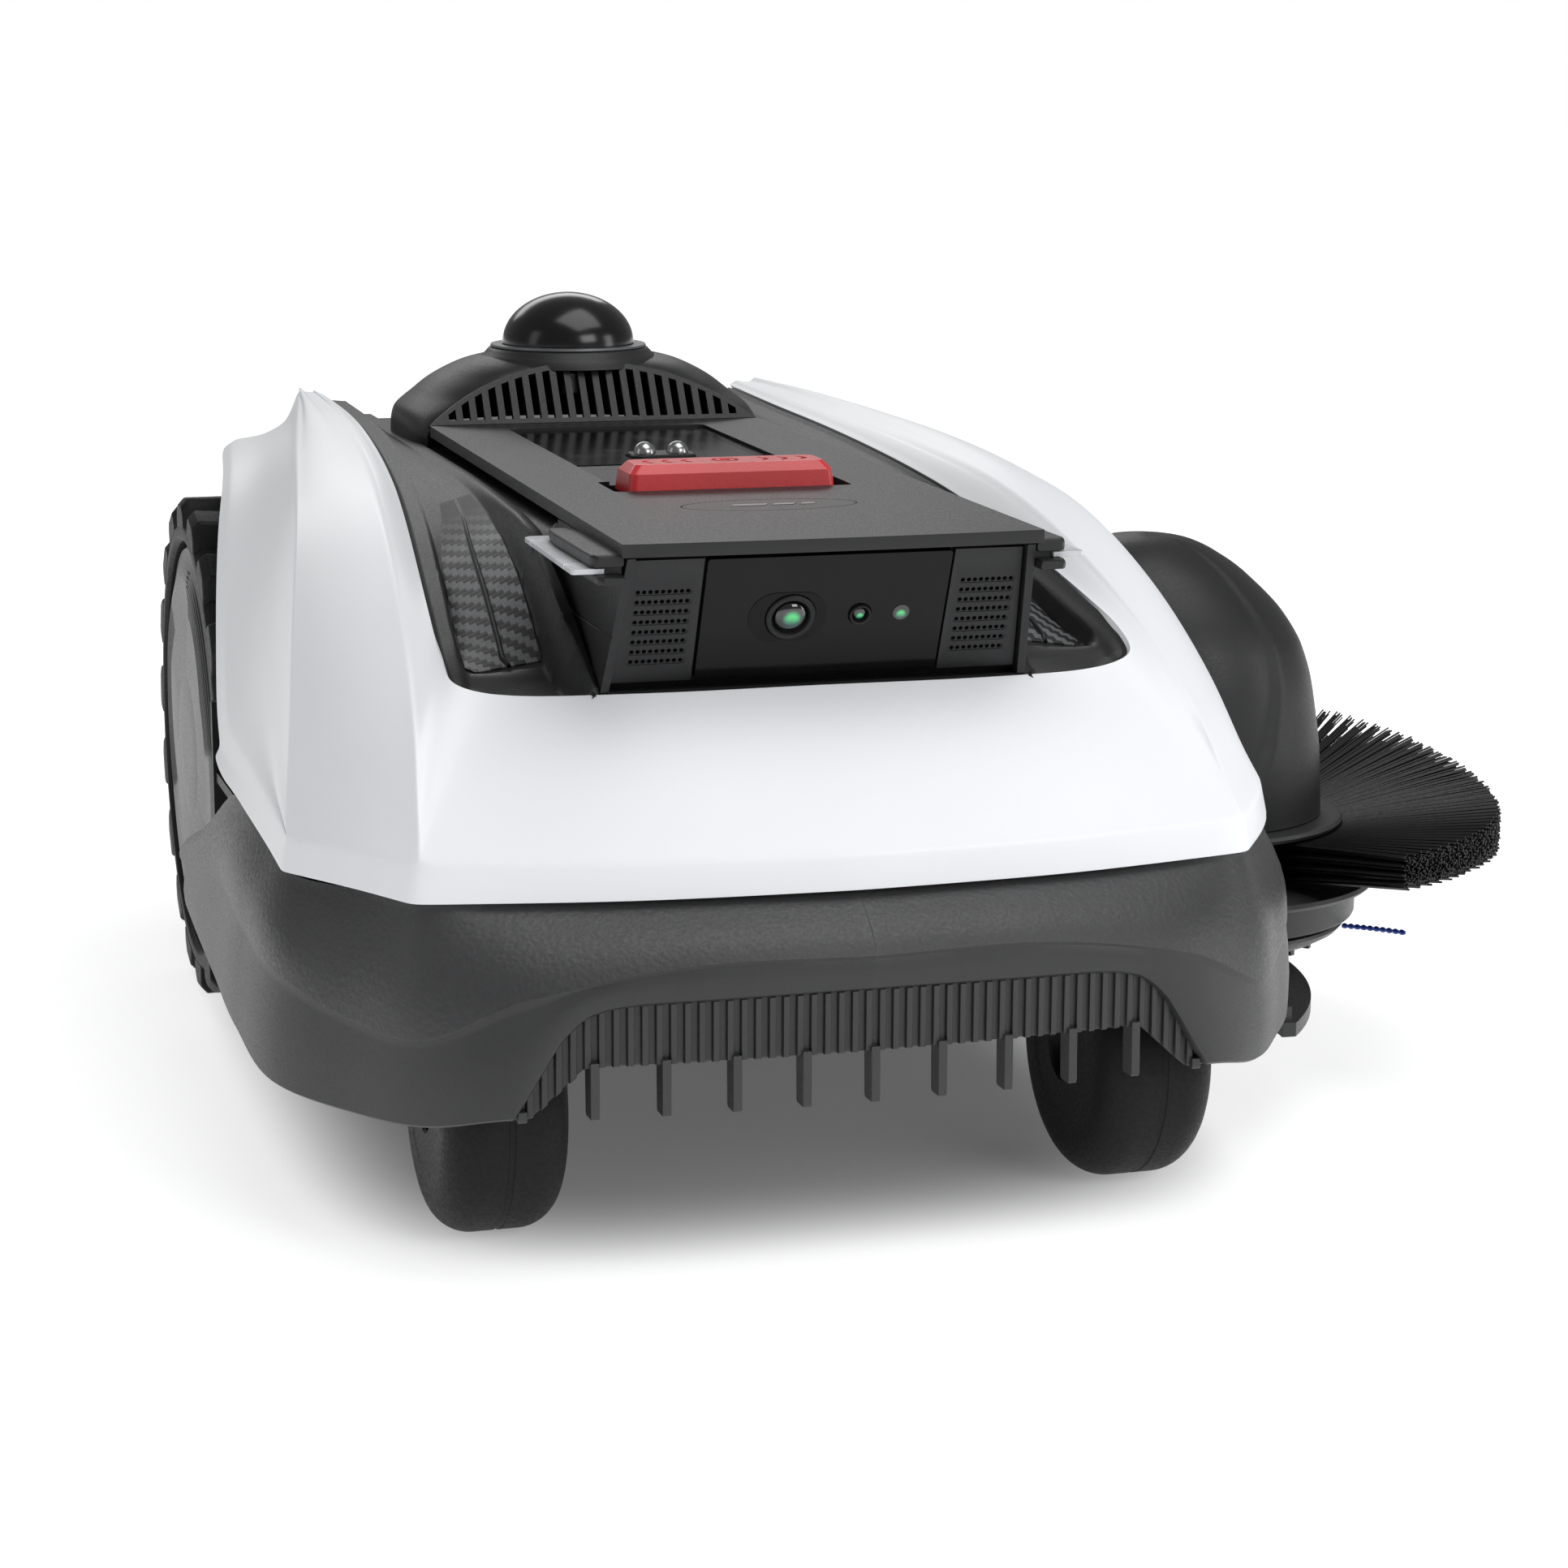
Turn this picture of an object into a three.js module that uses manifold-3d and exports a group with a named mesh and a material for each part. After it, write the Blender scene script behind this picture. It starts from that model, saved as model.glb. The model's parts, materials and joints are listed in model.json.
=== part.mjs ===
// Robotic lawn mower with an edge trimmer on its right side.
// Millimetres, +Z up. The mower faces -Y, its symmetry plane is X = 0, the lawn is Z = 0.
import * as THREE from 'three';
import Module from 'manifold-3d';
import { ConvexGeometry } from 'three/addons/geometries/ConvexGeometry.js';
import { mergeVertices, mergeGeometries } from 'three/addons/utils/BufferGeometryUtils.js';

const wasm = await Module();
wasm.setup();

// ---------------------------------------------------------------- driving dimensions
const GAP = 0.5;                 // clearance between fixed pieces
const COVER_WALL = 3;            // white shell thickness
const DECK_WALL = 2.5;           // black upper shell thickness
const SKIRT_WALL = 3;            // front and side skirt thickness

const DRIVE = { radius: 107.5, y: 288, inner: 129, outer: 178, lugs: 18, lugHeight: 9, seat: 88.5 };
const CASTER = { x: 118, y: -41, trail: 14, radius: 48, halfWidth: 22, shoulder: 14 };
const FLOOR = { z: 118, thickness: 4 };
const TUB = { halfWidth: 124, front: 172, rear: 406, bottom: 62, top: 219, wall: 3.5 };

const HOOD = { frontY: -85, rearY: 268, halfFront: 74.8, halfRear: 72.8, thickness: 4.5 };
const HOOD_FRONT_Z = 242.7;
const HOOD_REAR_Z = 245.5;
const BUTTON = { width: 82, depth: 25, height: 11, y: 58.5, top: 9 };
const KEY = { radius: 6, x: 22, y: 104 };
const HEAD = {
  halfWidth: 77, wall: 3, bottomZ: 187, topZ: 237.4, rearY: 22, frontTopY: -83, frontBottomY: -61,
};
const LEAN = Math.atan2(HEAD.frontBottomY - HEAD.frontTopY, HEAD.topZ - HEAD.bottomZ);

const LIDAR = { y: 321.5, z: 275, radius: 29.2, height: 22.2, wall: 2 };
const VENT = { y: 270, z: 245.5, halfWidth: 73, height: 30, lean: 0.6, slots: 21, pitch: 6.22 };
const TURRET_REAR = 0.86;   // depth of the turret behind the dome's axis over its half width

const BLADES = { x: 78, y: 105, z: 39.2, reach: 70, pivot: 42, count: 3 };
const TRIMMER = { x: 204, y: 90, tipRadius: 128, headRadius: 66, lineZ: 56.3, lineTip: 92, lineAngle: -0.6 };

// ---------------------------------------------------------------- materials
const finishes = {
  shellWhite: [0xeef1f4, 0.42, 0.0],
  satinBlack: [0x2b2c2e, 0.5, 0.0],
  skirtGrey: [0x3a3b3d, 0.62, 0.0],
  tyreRubber: [0x161617, 0.85, 0.0],
  glossBlack: [0x050506, 0.06, 0.0],
  lensGreen: [0x1f8a5a, 0.05, 0.0],
  clearPlastic: [0xb9bec4, 0.15, 0.0],
  signalRed: [0xc2272d, 0.35, 0.0],
  steel: [0x9ea2a6, 0.3, 1.0],
  carbon: [0x3c3e41, 0.3, 0.0],
  bristle: [0x18191a, 0.7, 0.0],
  nylonBlue: [0x0a2f8c, 0.4, 0.0],
  boardGreen: [0x1d5a34, 0.6, 0.0],
  cellGrey: [0x4a4d52, 0.6, 0.0],
};

function finish(name) {
  const [color, roughness, metalness] = finishes[name];
  return new THREE.MeshStandardMaterial({ color, roughness, metalness });
}

// ---------------------------------------------------------------- solid helpers
function welded(geometry) {
  const bare = geometry.clone();
  bare.deleteAttribute('normal');
  bare.deleteAttribute('uv');
  return mergeVertices(bare, 1e-4);
}

function toManifold(geometry) {
  const solid = welded(geometry);
  const vertProperties = Float32Array.from(solid.attributes.position.array);
  const triVerts = Uint32Array.from(solid.index.array);
  return new wasm.Manifold(new wasm.Mesh({ numProp: 3, vertProperties, triVerts }));
}

function toGeometry(manifold) {
  const mesh = manifold.getMesh();
  const geometry = new THREE.BufferGeometry();
  geometry.setAttribute('position', new THREE.BufferAttribute(Float32Array.from(mesh.vertProperties), 3));
  geometry.setIndex(Array.from(mesh.triVerts));
  geometry.computeVertexNormals();
  return geometry;
}

function join(...geometries) {
  return toGeometry(geometries.map(toManifold).reduce((sum, next) => sum.add(next)));
}

function cut(body, ...tools) {
  return toGeometry(tools.map(toManifold).reduce((rest, tool) => rest.subtract(tool), toManifold(body)));
}

function common(a, b) {
  return toGeometry(toManifold(a).intersect(toManifold(b)));
}

function moved(geometry, x, y, z) {
  return geometry.clone().translate(x, y, z);
}

function box(x0, x1, y0, y1, z0, z1) {
  return moved(new THREE.BoxGeometry(x1 - x0, y1 - y0, z1 - z0), (x0 + x1) / 2, (y0 + y1) / 2, (z0 + z1) / 2);
}

function rod(radius, z0, z1, sides = 24) {
  const cylinder = new THREE.CylinderGeometry(radius, radius, z1 - z0, sides);
  return cylinder.rotateX(Math.PI / 2).translate(0, 0, (z0 + z1) / 2);
}

function turned(profile, sides = 28) {
  const points = profile.map(([r, z]) => new THREE.Vector2(r, z));
  return new THREE.LatheGeometry(points, sides).rotateX(Math.PI / 2);
}

function shapeOf(points) {
  return new THREE.Shape(points.map(([x, y]) => new THREE.Vector2(x, y)));
}

function roundedRectangle(halfX, y0, y1, radius) {
  const shape = new THREE.Shape();
  shape.absarc(halfX - radius, y0 + radius, radius, -Math.PI / 2, 0);
  shape.absarc(halfX - radius, y1 - radius, radius, 0, Math.PI / 2);
  shape.absarc(-halfX + radius, y1 - radius, radius, Math.PI / 2, Math.PI);
  shape.absarc(-halfX + radius, y0 + radius, radius, Math.PI, 1.5 * Math.PI);
  return shape;
}

// Extrudes a plan outline (X, Y) upwards from z0 to z1.
function slab(shape, z0, z1, curveSegments = 4) {
  return new THREE.ExtrudeGeometry(shape, { depth: z1 - z0, bevelEnabled: false, curveSegments })
    .translate(0, 0, z0);
}

// Extrudes a front view outline (X, Z) along Y.
function frontPrism(shape, y0, y1, curveSegments = 6) {
  return new THREE.ExtrudeGeometry(shape, { depth: y1 - y0, bevelEnabled: false, curveSegments })
    .rotateX(Math.PI / 2).translate(0, y1, 0);
}

// Extrudes a side view outline (Y, Z) along X.
function sidePrism(points, x0, x1) {
  const extruded = new THREE.ExtrudeGeometry(shapeOf(points), { depth: x1 - x0, bevelEnabled: false });
  return extruded.rotateY(Math.PI / 2).rotateX(Math.PI / 2).translate(x0, 0, 0);
}

// ---------------------------------------------------------------- open surfaces and shells
function mirroredX(points) {
  return points.map((p) => new THREE.Vector3(-p.x, p.y, p.z));
}

// Two triangles for every cell of a net of points, rows[i][j].
function net(rows) {
  const positions = [];
  const emit = (...corners) => {
    const [a, b, c] = corners;
    const area = b.clone().sub(a).cross(c.clone().sub(a)).length();
    if (area > 1e-6) corners.forEach((p) => positions.push(p.x, p.y, p.z));
  };
  for (let i = 0; i + 1 < rows.length; i += 1) {
    for (let j = 0; j + 1 < rows[i].length; j += 1) {
      emit(rows[i][j], rows[i + 1][j], rows[i + 1][j + 1]);
      emit(rows[i][j], rows[i + 1][j + 1], rows[i][j + 1]);
    }
  }
  const geometry = new THREE.BufferGeometry();
  geometry.setAttribute('position', new THREE.BufferAttribute(Float32Array.from(positions), 3));
  return geometry;
}

// A surface and its mirror image in X, facing the same way.
function bothSides(rows) {
  return [net(rows), net(rows.map(mirroredX).reverse())];
}

// Gives an open surface a wall: the second skin lies on the side away from its normals.
function shell(surfaces, wall) {
  const skin = mergeVertices(mergeGeometries(surfaces), 1e-3);
  skin.computeVertexNormals();
  const { position, normal } = skin.attributes;
  const faces = Array.from(skin.index.array);
  const count = position.count;
  const points = [];
  for (const depth of [0, wall]) {
    for (let i = 0; i < count; i += 1) {
      points.push(
        position.getX(i) - depth * normal.getX(i),
        position.getY(i) - depth * normal.getY(i),
        position.getZ(i) - depth * normal.getZ(i),
      );
    }
  }
  const open = new Set();
  const triangles = [];
  for (let f = 0; f < faces.length; f += 3) {
    const [a, b, c] = faces.slice(f, f + 3);
    triangles.push(a, b, c, a + count, c + count, b + count);
    for (const [p, q] of [[a, b], [b, c], [c, a]]) {
      if (!open.delete(`${q},${p}`)) open.add(`${p},${q}`);
    }
  }
  for (const edge of open) {
    const [p, q] = edge.split(',').map(Number);
    triangles.push(q, p, p + count, q, p + count, q + count);
  }
  const geometry = new THREE.BufferGeometry();
  geometry.setAttribute('position', new THREE.BufferAttribute(Float32Array.from(points), 3));
  geometry.setIndex(triangles);
  geometry.computeVertexNormals();
  return geometry;
}

// Samples a smooth line through its control points, so many steps to each span.
function smooth(points, perSpan) {
  const curve = new THREE.CatmullRomCurve3(points.map((p) => new THREE.Vector3(...p)));
  const steps = (points.length - 1) * perSpan;
  return Array.from({ length: steps + 1 }, (_, i) => curve.getPoint(i / steps));
}

function between(lineA, lineB, fraction, bulge = 0) {
  const arch = 4 * fraction * (1 - fraction) * bulge;
  return lineA.map((p, i) => {
    const q = p.clone().lerp(lineB[i], fraction);
    const outward = new THREE.Vector3(q.x, q.y < 0 ? 2 * q.y : 0, 150).normalize();
    return q.addScaledVector(outward, arch);
  });
}

// ---------------------------------------------------------------- the white shell's lines
// All run from the tail fin to the front, on the +X side.
const COVER_INNER = [
  [97, 406, 247], [97, 326, 245], [101, 250, 242], [107.5, 165, 235.5], [113, 108, 228], [119, 48, 216],
  [123.7, 0, 205], [126, -28, 197.5], [124.5, -43, 191], [112, -49, 187.5], [66, -64.5, 188.3],
  [0, -66, 188.6],
];
const COVER_CREST = [
  [104, 402, 248.5], [107.5, 330, 248.5], [112, 250, 246.5], [119, 165, 242.5], [125.8, 98, 235.7],
  [131.8, 32, 219.4], [137.9, -30, 194.5], [142.5, -68, 170.5], [145.6, -87.5, 149.5], [147.3, -96.2, 139.5],
  [75, -110.2, 139.5], [0, -115, 139.5],
];
const COVER_SHOULDER = [
  [110, 396, 248.5], [119, 335, 248.5], [130, 265, 246.5], [141, 195, 242.5], [149.5, 140, 235.9],
  [157.6, 90, 226], [167.3, 38, 201.7], [174.7, 0, 173.1], [179.5, -22, 149], [181.8, -34, 138.2],
];
const COVER_FOOT = [
  [114, 412, 231], [125, 338, 239], [135, 265, 241], [145, 198, 237], [155, 148, 224],
  [166, 92, 198], [173, 40, 178], [177.5, 4, 160], [180.5, -20, 146], [181.8, -34, 138.2],
];
const COVER_ARCH = [
  [141, 404, 225], [152, 340, 229], [162, 265, 225], [171, 215, 208], [180, 158, 177],
  [187, 98, 145.5], [185.5, 48, 142.5], [184, 10, 141.3], [182.8, -16, 140], [181.8, -34, 138.2],
];
const BAND_HEIGHT = 12.5;
const STEPS = 2;

function coverEdge(p) {
  const rise = THREE.MathUtils.clamp((p.y + 50) / 145, 0, 1) * 8;
  return new THREE.Vector3(p.x * 1.012, p.y < 60 ? p.y - 1.2 : p.y, p.z - BAND_HEIGHT + rise);
}

function whiteCover() {
  const inner = smooth(COVER_INNER, STEPS);
  const crest = smooth(COVER_CREST, STEPS);
  const shoulder = smooth(COVER_SHOULDER, STEPS);
  const foot = smooth(COVER_FOOT, STEPS);
  const arch = smooth(COVER_ARCH, STEPS);
  const corner = COVER_SHOULDER.length - 1;
  const crestSide = crest.slice(0, corner * STEPS + 1);
  const bevel = [0, 0.4, 0.75, 1].map((t) => between(crestSide, shoulder, t, 4));
  const top = [inner, between(inner, crest, 0.5, 1.5), crest];
  const side = [shoulder, foot, between(foot, arch, 0.5, 1), arch];
  const bandTop = [
    ...arch.slice(5 * STEPS),
    ...bevel.map((line) => line[corner * STEPS]).reverse().slice(1),
    ...crest.slice(corner * STEPS + 1),
  ];
  const band = [bandTop, bandTop.map(coverEdge)];
  return shell([top, bevel, side, band].flatMap(bothSides), COVER_WALL);
}

// ---------------------------------------------------------------- black upper shell
// The channel between the white shell and the hood: y, foot x, foot z, ridge z and the drop behind the rim.
const CHANNEL = [
  [-50, 86, 189.5, 196, 1], [-25, 88, 191.5, 207.5, 7.5], [0, 86.5, 203, 219, 8.5], [36, 84.5, 217, 232, 7],
  [66, 83.5, 224.5, 234, 4], [98, 82.5, 229.5, 234, 1.5], [130, 82, 232.5, 234, 0.5],
  [406, 82, 234, 234, 0.5],
];

// The row of a table at the given first value, in proportion between its neighbours.
function rowAt(table, at) {
  const next = table.findIndex((row) => row[0] >= at);
  if (next <= 0) return table[next === 0 ? 0 : table.length - 1];
  const [before, after] = [table[next - 1], table[next]];
  const share = (at - before[0]) / (after[0] - before[0]);
  return before.map((value, i) => value + (after[i] - value) * share);
}

function deckSection(edge) {
  const [, footX, footZ, ridge, drop] = rowAt(CHANNEL, edge.y);
  const half = [
    [edge.x - 1, edge.z - 1.2], [edge.x - 8.5, edge.z - 3.2], [edge.x - 10.5, edge.z - 3.2 - drop],
    [footX, footZ], [80, ridge], [40, ridge], [0, ridge],
  ].map(([x, z]) => new THREE.Vector3(x, edge.y, z));
  return [...half, ...mirroredX(half.slice(0, -1)).reverse()];
}

function topDeck() {
  const side = smooth(COVER_INNER.slice(0, 10), STEPS);
  const deck = shell([net(side.map(deckSection).reverse())], DECK_WALL);
  const headBay = box(-HEAD.halfWidth - 1.5, HEAD.halfWidth + 1.5, -95, HEAD.rearY + 2, 150, 260);
  const lidarBay = moved(rod(24, 200, 260, 20), 0, LIDAR.y, 0);
  return cut(deck, headBay, lidarBay);
}

function carbonInlay() {
  const edges = smooth(COVER_INNER.slice(0, 9), STEPS).slice(4 * STEPS, 7 * STEPS + 1);
  const rows = edges.map((edge) => {
    const [, footX, footZ, , drop] = rowAt(CHANNEL, edge.y);
    const [outerX, outerZ] = [edge.x - 10.5, edge.z - 3.2 - drop];
    return [0.06, 0.5, 0.94].map((t) => new THREE.Vector3(
      THREE.MathUtils.lerp(outerX, footX, t), edge.y, THREE.MathUtils.lerp(outerZ, footZ, t) + 2.2));
  });
  return shell([net(rows.reverse())], 1.0);
}

// ---------------------------------------------------------------- hood, keys and display
const HOOD_TILT = Math.atan2(HOOD_REAR_Z - HOOD_FRONT_Z, HOOD.rearY - HOOD.frontY);

function hoodZ(y) {
  return HOOD_FRONT_Z + (y - HOOD.frontY) * Math.tan(HOOD_TILT);
}

function hoodPlate() {
  const outline = new THREE.Shape();
  outline.moveTo(-HOOD.halfFront, HOOD.frontY + 2);
  outline.quadraticCurveTo(0, HOOD.frontY - 4, HOOD.halfFront, HOOD.frontY + 2);
  outline.lineTo(HOOD.halfRear, HOOD.rearY);
  outline.lineTo(-HOOD.halfRear, HOOD.rearY);
  const plate = slab(outline, -HOOD.thickness, 0, 10);
  const buttonBay = box(-46, 46, BUTTON.y - 14, BUTTON.y + 15, -20, 20);
  const displayBay = slab(roundedRectangle(42.5, 73, 249, 3), -20, 20, 3);
  return cut(plate, join(buttonBay, displayBay));
}

function stopButton() {
  const { width, depth, height, y, top } = BUTTON;
  return slab(roundedRectangle(width / 2, y - depth / 2, y + depth / 2, 3), top - height, top);
}

function keyPanel() {
  const plate = slab(roundedRectangle(42, 74.5, 132, 3), -4.5, -1.6, 3);
  const bores = [-1, 1].map((side) => moved(rod(KEY.radius + 0.4, -10, 10, 20), side * KEY.x, KEY.y, 0));
  return cut(plate, ...bores);
}

function key(side) {
  return moved(rod(KEY.radius, -4.2, -1.0, 20), side * KEY.x, KEY.y, 0);
}

function displayGlass() {
  const plate = slab(roundedRectangle(42, 132.5, 248.5, 2.5), -4, -1.2, 3);
  return cut(plate, box(-14, 14, 147, 164, -10, 10));
}

function rainSensor() {
  const base = slab(roundedRectangle(13.5, 147.5, 163.5, 5), -5, -0.4, 4);
  const electrodes = [-6.8, 6.8].map((x) => new THREE.SphereGeometry(4.8, 12, 6).translate(x, 155.5, 1.2));
  return join(base, ...electrodes);
}

// ---------------------------------------------------------------- sensor head
function headPoint(fraction, depth) {
  const y = THREE.MathUtils.lerp(HEAD.frontBottomY, HEAD.frontTopY, fraction) + depth;
  return [y, THREE.MathUtils.lerp(HEAD.bottomZ, HEAD.topZ, fraction)];
}

function headHousing() {
  const { halfWidth, wall, bottomZ, topZ, rearY } = HEAD;
  const outer = sidePrism([headPoint(0, 0), [rearY, bottomZ], [rearY, topZ], headPoint(1, 0)],
    -halfWidth, halfWidth);
  const hollow = sidePrism(
    [[headPoint(0.06, 11)[0], bottomZ + wall], [rearY + 5, bottomZ + wall], [rearY + 5, topZ - wall],
      [headPoint(0.94, 11)[0], topZ - wall]], -halfWidth + wall, halfWidth - wall);
  const recess = sidePrism(
    [headPoint(0.02, -20), headPoint(0.02, 7.6), headPoint(0.99, 7.6), headPoint(0.99, -20)], -72, 72);
  const cableHole = box(-20, 20, -20, 10, bottomZ - 5, bottomZ + 10);
  return cut(outer, hollow, recess, cableHole);
}

// Pieces on the face of the head lie in a leaning frame: X across, Z up the face, -Y outwards.
const FACE_HEIGHT = (HEAD.topZ - HEAD.bottomZ) / Math.cos(LEAN);

function cameraWindow() {
  const plate = box(-43.5, 43.5, 2.2, 6, 4.2, FACE_HEIGHT - 3.2);
  const mainBore = rod(9.3, -10, 10, 24).rotateX(Math.PI / 2).translate(-12, 0, 28);
  const auxBore = rod(4.3, -10, 10, 16).rotateX(Math.PI / 2).translate(13, 0, 28);
  return cut(plate, mainBore, auxBore);
}

function lens(radius, x) {
  const profile = [[0, -1.4], [radius, -1.4], [radius, 2], [radius * 0.7, 3.4], [0, 4.2]];
  return turned(profile, 16).rotateX(Math.PI / 2).translate(x, 4.6, 28);
}

function speakerGrille(side) {
  return box(side * 58 - 13.3, side * 58 + 13.3, 2.8, 6, 4.2, FACE_HEIGHT - 3.2);
}

function lightWing(side) {
  const plate = shapeOf([[0, 0], [13, 0], [14.5, 3], [14.5, 40], [4, 54], [0, 54]]);
  const wing = slab(plate, 0, 2.6);
  const holder = box(0, 7, 6, 50, -3, 5);
  const light = join(wing, holder).translate(HEAD.halfWidth + GAP, -80, 228);
  return side > 0 ? light : mirrorGeometry(light);
}

function mirrorGeometry(geometry) {
  const copy = geometry.clone().scale(-1, 1, 1);
  const indices = Array.from(copy.index.array);
  for (let i = 0; i < indices.length; i += 3) {
    [indices[i], indices[i + 1]] = [indices[i + 1], indices[i]];
  }
  copy.setIndex(indices);
  return copy;
}

// ---------------------------------------------------------------- turret and lidar
function ventPlane(depth) {
  return box(-110, 110, -60, depth, -40, 60).rotateX(-VENT.lean).translate(0, VENT.y, VENT.z);
}

// The crown of the arched vent at one place across it: a shallow arc through both ends.
const VENT_ARC = (VENT.halfWidth ** 2 + VENT.height ** 2) / (2 * VENT.height);

function ventCrown(x) {
  return Math.sqrt(VENT_ARC ** 2 - x ** 2) - (VENT_ARC - VENT.height);
}

function ventGrille() {
  const { halfWidth, slots, pitch } = VENT;
  const arch = Array.from({ length: 17 }, (_, i) => halfWidth * Math.cos((Math.PI * i) / 16));
  const face = shapeOf(arch.map((x) => [x, ventCrown(x)]));
  const openings = Array.from({ length: slots }, (_, i) => {
    const x = (i - (slots - 1) / 2) * pitch;
    return box(x - 1.6, x + 1.6, -5, 8, 1.5, Math.min(ventCrown(x - 1.6), ventCrown(x + 1.6)) - 2.6);
  });
  return cut(frontPrism(face, 0, 3), ...openings).rotateX(-VENT.lean).translate(0, VENT.y, VENT.z);
}

// The turret spans from the leaning vent to a rounded back: the convex body around both.
function turretBody(profile, inset) {
  const points = [];
  for (let i = 0; i <= 16; i += 1) {
    const x = (VENT.halfWidth - inset) * Math.cos((Math.PI * i) / 16);
    const crown = Math.max(0, ventCrown(x) - inset);
    const [y, z] = [VENT.y + crown * Math.sin(VENT.lean), VENT.z + crown * Math.cos(VENT.lean)];
    points.push(new THREE.Vector3(x, y, z));
    points.push(new THREE.Vector3(x, VENT.y, profile[0][1]));
  }
  for (const [r, z] of profile) {
    for (let i = 0; i <= 14; i += 1) {
      const angle = (Math.PI * i) / 14;
      const y = LIDAR.y + TURRET_REAR * r * Math.sin(angle);
      points.push(new THREE.Vector3(r * Math.cos(angle), y, z));
    }
  }
  return new ConvexGeometry(points);
}

function lidarTurret() {
  const outside = [
    [80, 234.5], [79.3, 244.4], [78, 248.5], [70.5, 254.9], [58.7, 263.8], [49.6, 268.1], [37, 270.8],
  ];
  const inside = [[76, 230], [75.3, 244], [67.5, 252], [56.5, 260], [47, 264.3], [36, 266.5]];
  const collar = turned([[0, 262], [38.5, 262], [37.5, 270.5], [35.2, 272.2], [34.8, 273.7], [0, 273.7]], 28);
  const seat = moved(rod(26.5, 200, 300, 24), 0, LIDAR.y, 0);
  const body = join(turretBody(outside, 0), moved(collar, 0, LIDAR.y, 0));
  return cut(body, turretBody(inside, 3.5), ventPlane(3 + GAP), seat);
}

function lidarDome() {
  const { radius, height, wall } = LIDAR;
  const arc = (inset, from, to) => Array.from({ length: 7 }, (_, i) => {
    const angle = from + ((to - from) * i) / 6;
    const r = (radius - inset) * Math.cos(angle);
    return [r < 1e-6 ? 0 : r, (height - inset) * Math.sin(angle)];
  });
  const outside = arc(0, 0, Math.PI / 2);
  const inside = arc(wall, Math.PI / 2, 0);
  return turned([...outside, ...inside, outside[0]], 24).translate(0, LIDAR.y, LIDAR.z + GAP);
}

function lidarRing() {
  return turned([[24, -1], [34.6, -1], [34.6, 0], [24, 0], [24, -1]], 24).translate(0, LIDAR.y, LIDAR.z);
}

function lidarRotor() {
  const spindle = rod(6, -26, -4, 16);
  const head = rod(17, -4, 9, 20);
  return join(spindle, head).translate(0, LIDAR.y, LIDAR.z + 4);
}

// ---------------------------------------------------------------- skirt, comb and chassis
const SKIRT_LOW = [
  [0, -135, 60], [64, -133, 60], [126, -128, 60], [150, -110, 54.5], [170, -82, 53.4], [191, -45, 54.5],
  [196.5, 8, 60.5], [195, 80, 60.5], [193, 150, 60], [191.5, 196, 60],
];
const SKIRT_CREASE = [
  [0, -133.5, 108.5], [64, -131.5, 108.5], [120, -125, 97], [149, -110, 84.5], [169, -82, 85], [188, -46, 93],
  [191.5, 8, 99], [190.5, 80, 99], [191.5, 145, 88], [191.4, 190, 78],
];
const SKIRT_HIGH = [
  [0, -111, 125.8], [64, -108, 125.8], [122, -99.5, 126], [146, -94.5, 126], [163, -66, 125.5],
  [180, -36, 124.5], [183, 0, 129.5], [186, 60, 134], [190, 118, 111], [191.3, 178, 92],
];
const ARCH = [[-128, 55], [-106, 92], [-88, 96.5], [0, 97.4], [88, 96.5], [106, 92], [128, 55]];

function frontSkirt() {
  const low = smooth(SKIRT_LOW, 2);
  const high = smooth(SKIRT_HIGH, 2);
  const crease = smooth(SKIRT_CREASE, 2);
  const rows = [high, crease, low];
  const wall = shell(bothSides(rows), SKIRT_WALL);
  return cut(wall, frontPrism(shapeOf(ARCH), -150, -105));
}

function bowed(geometry) {
  const { position } = geometry.attributes;
  for (let i = 0; i < position.count; i += 1) {
    position.setY(i, position.getY(i) + 7.6 * (position.getX(i) / 119.5) ** 2);
  }
  return geometry;
}

function frontComb() {
  const half = [[0, 96.2], [87, 95.5], [105, 91], [125.5, 58.6], [116, 58.6], [100, 75], [0, 75]];
  const outline = [...half, ...half.slice(1, -1).map(([x, z]) => [-x, z]).reverse()];
  const slices = Array.from({ length: 12 }, (_, i) => box(-132 + i * 22, -110 + i * 22, -140, -120, 50, 110));
  const blank = frontPrism(shapeOf(outline), -132, -128.5);
  const panel = slices.map((slice) => common(blank, slice));
  const teeth = Array.from({ length: 11 }, (_, i) => {
    const x = (i - 5) * 23.9;
    const side = [[-133.5, 92], [-133.5, 57.5], [-129, 57.5], [-116, 70], [-116, 92]];
    const height = Math.abs(i - 5) === 5 ? 65 : 92;
    return sidePrism(side.map(([y, z]) => [y, Math.min(z, height)]), x - 1.5, x + 1.5);
  });
  return toGeometry([...panel, ...teeth].map((piece) => toManifold(bowed(welded(piece))))
    .reduce((sum, next) => sum.add(next)));
}

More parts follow.
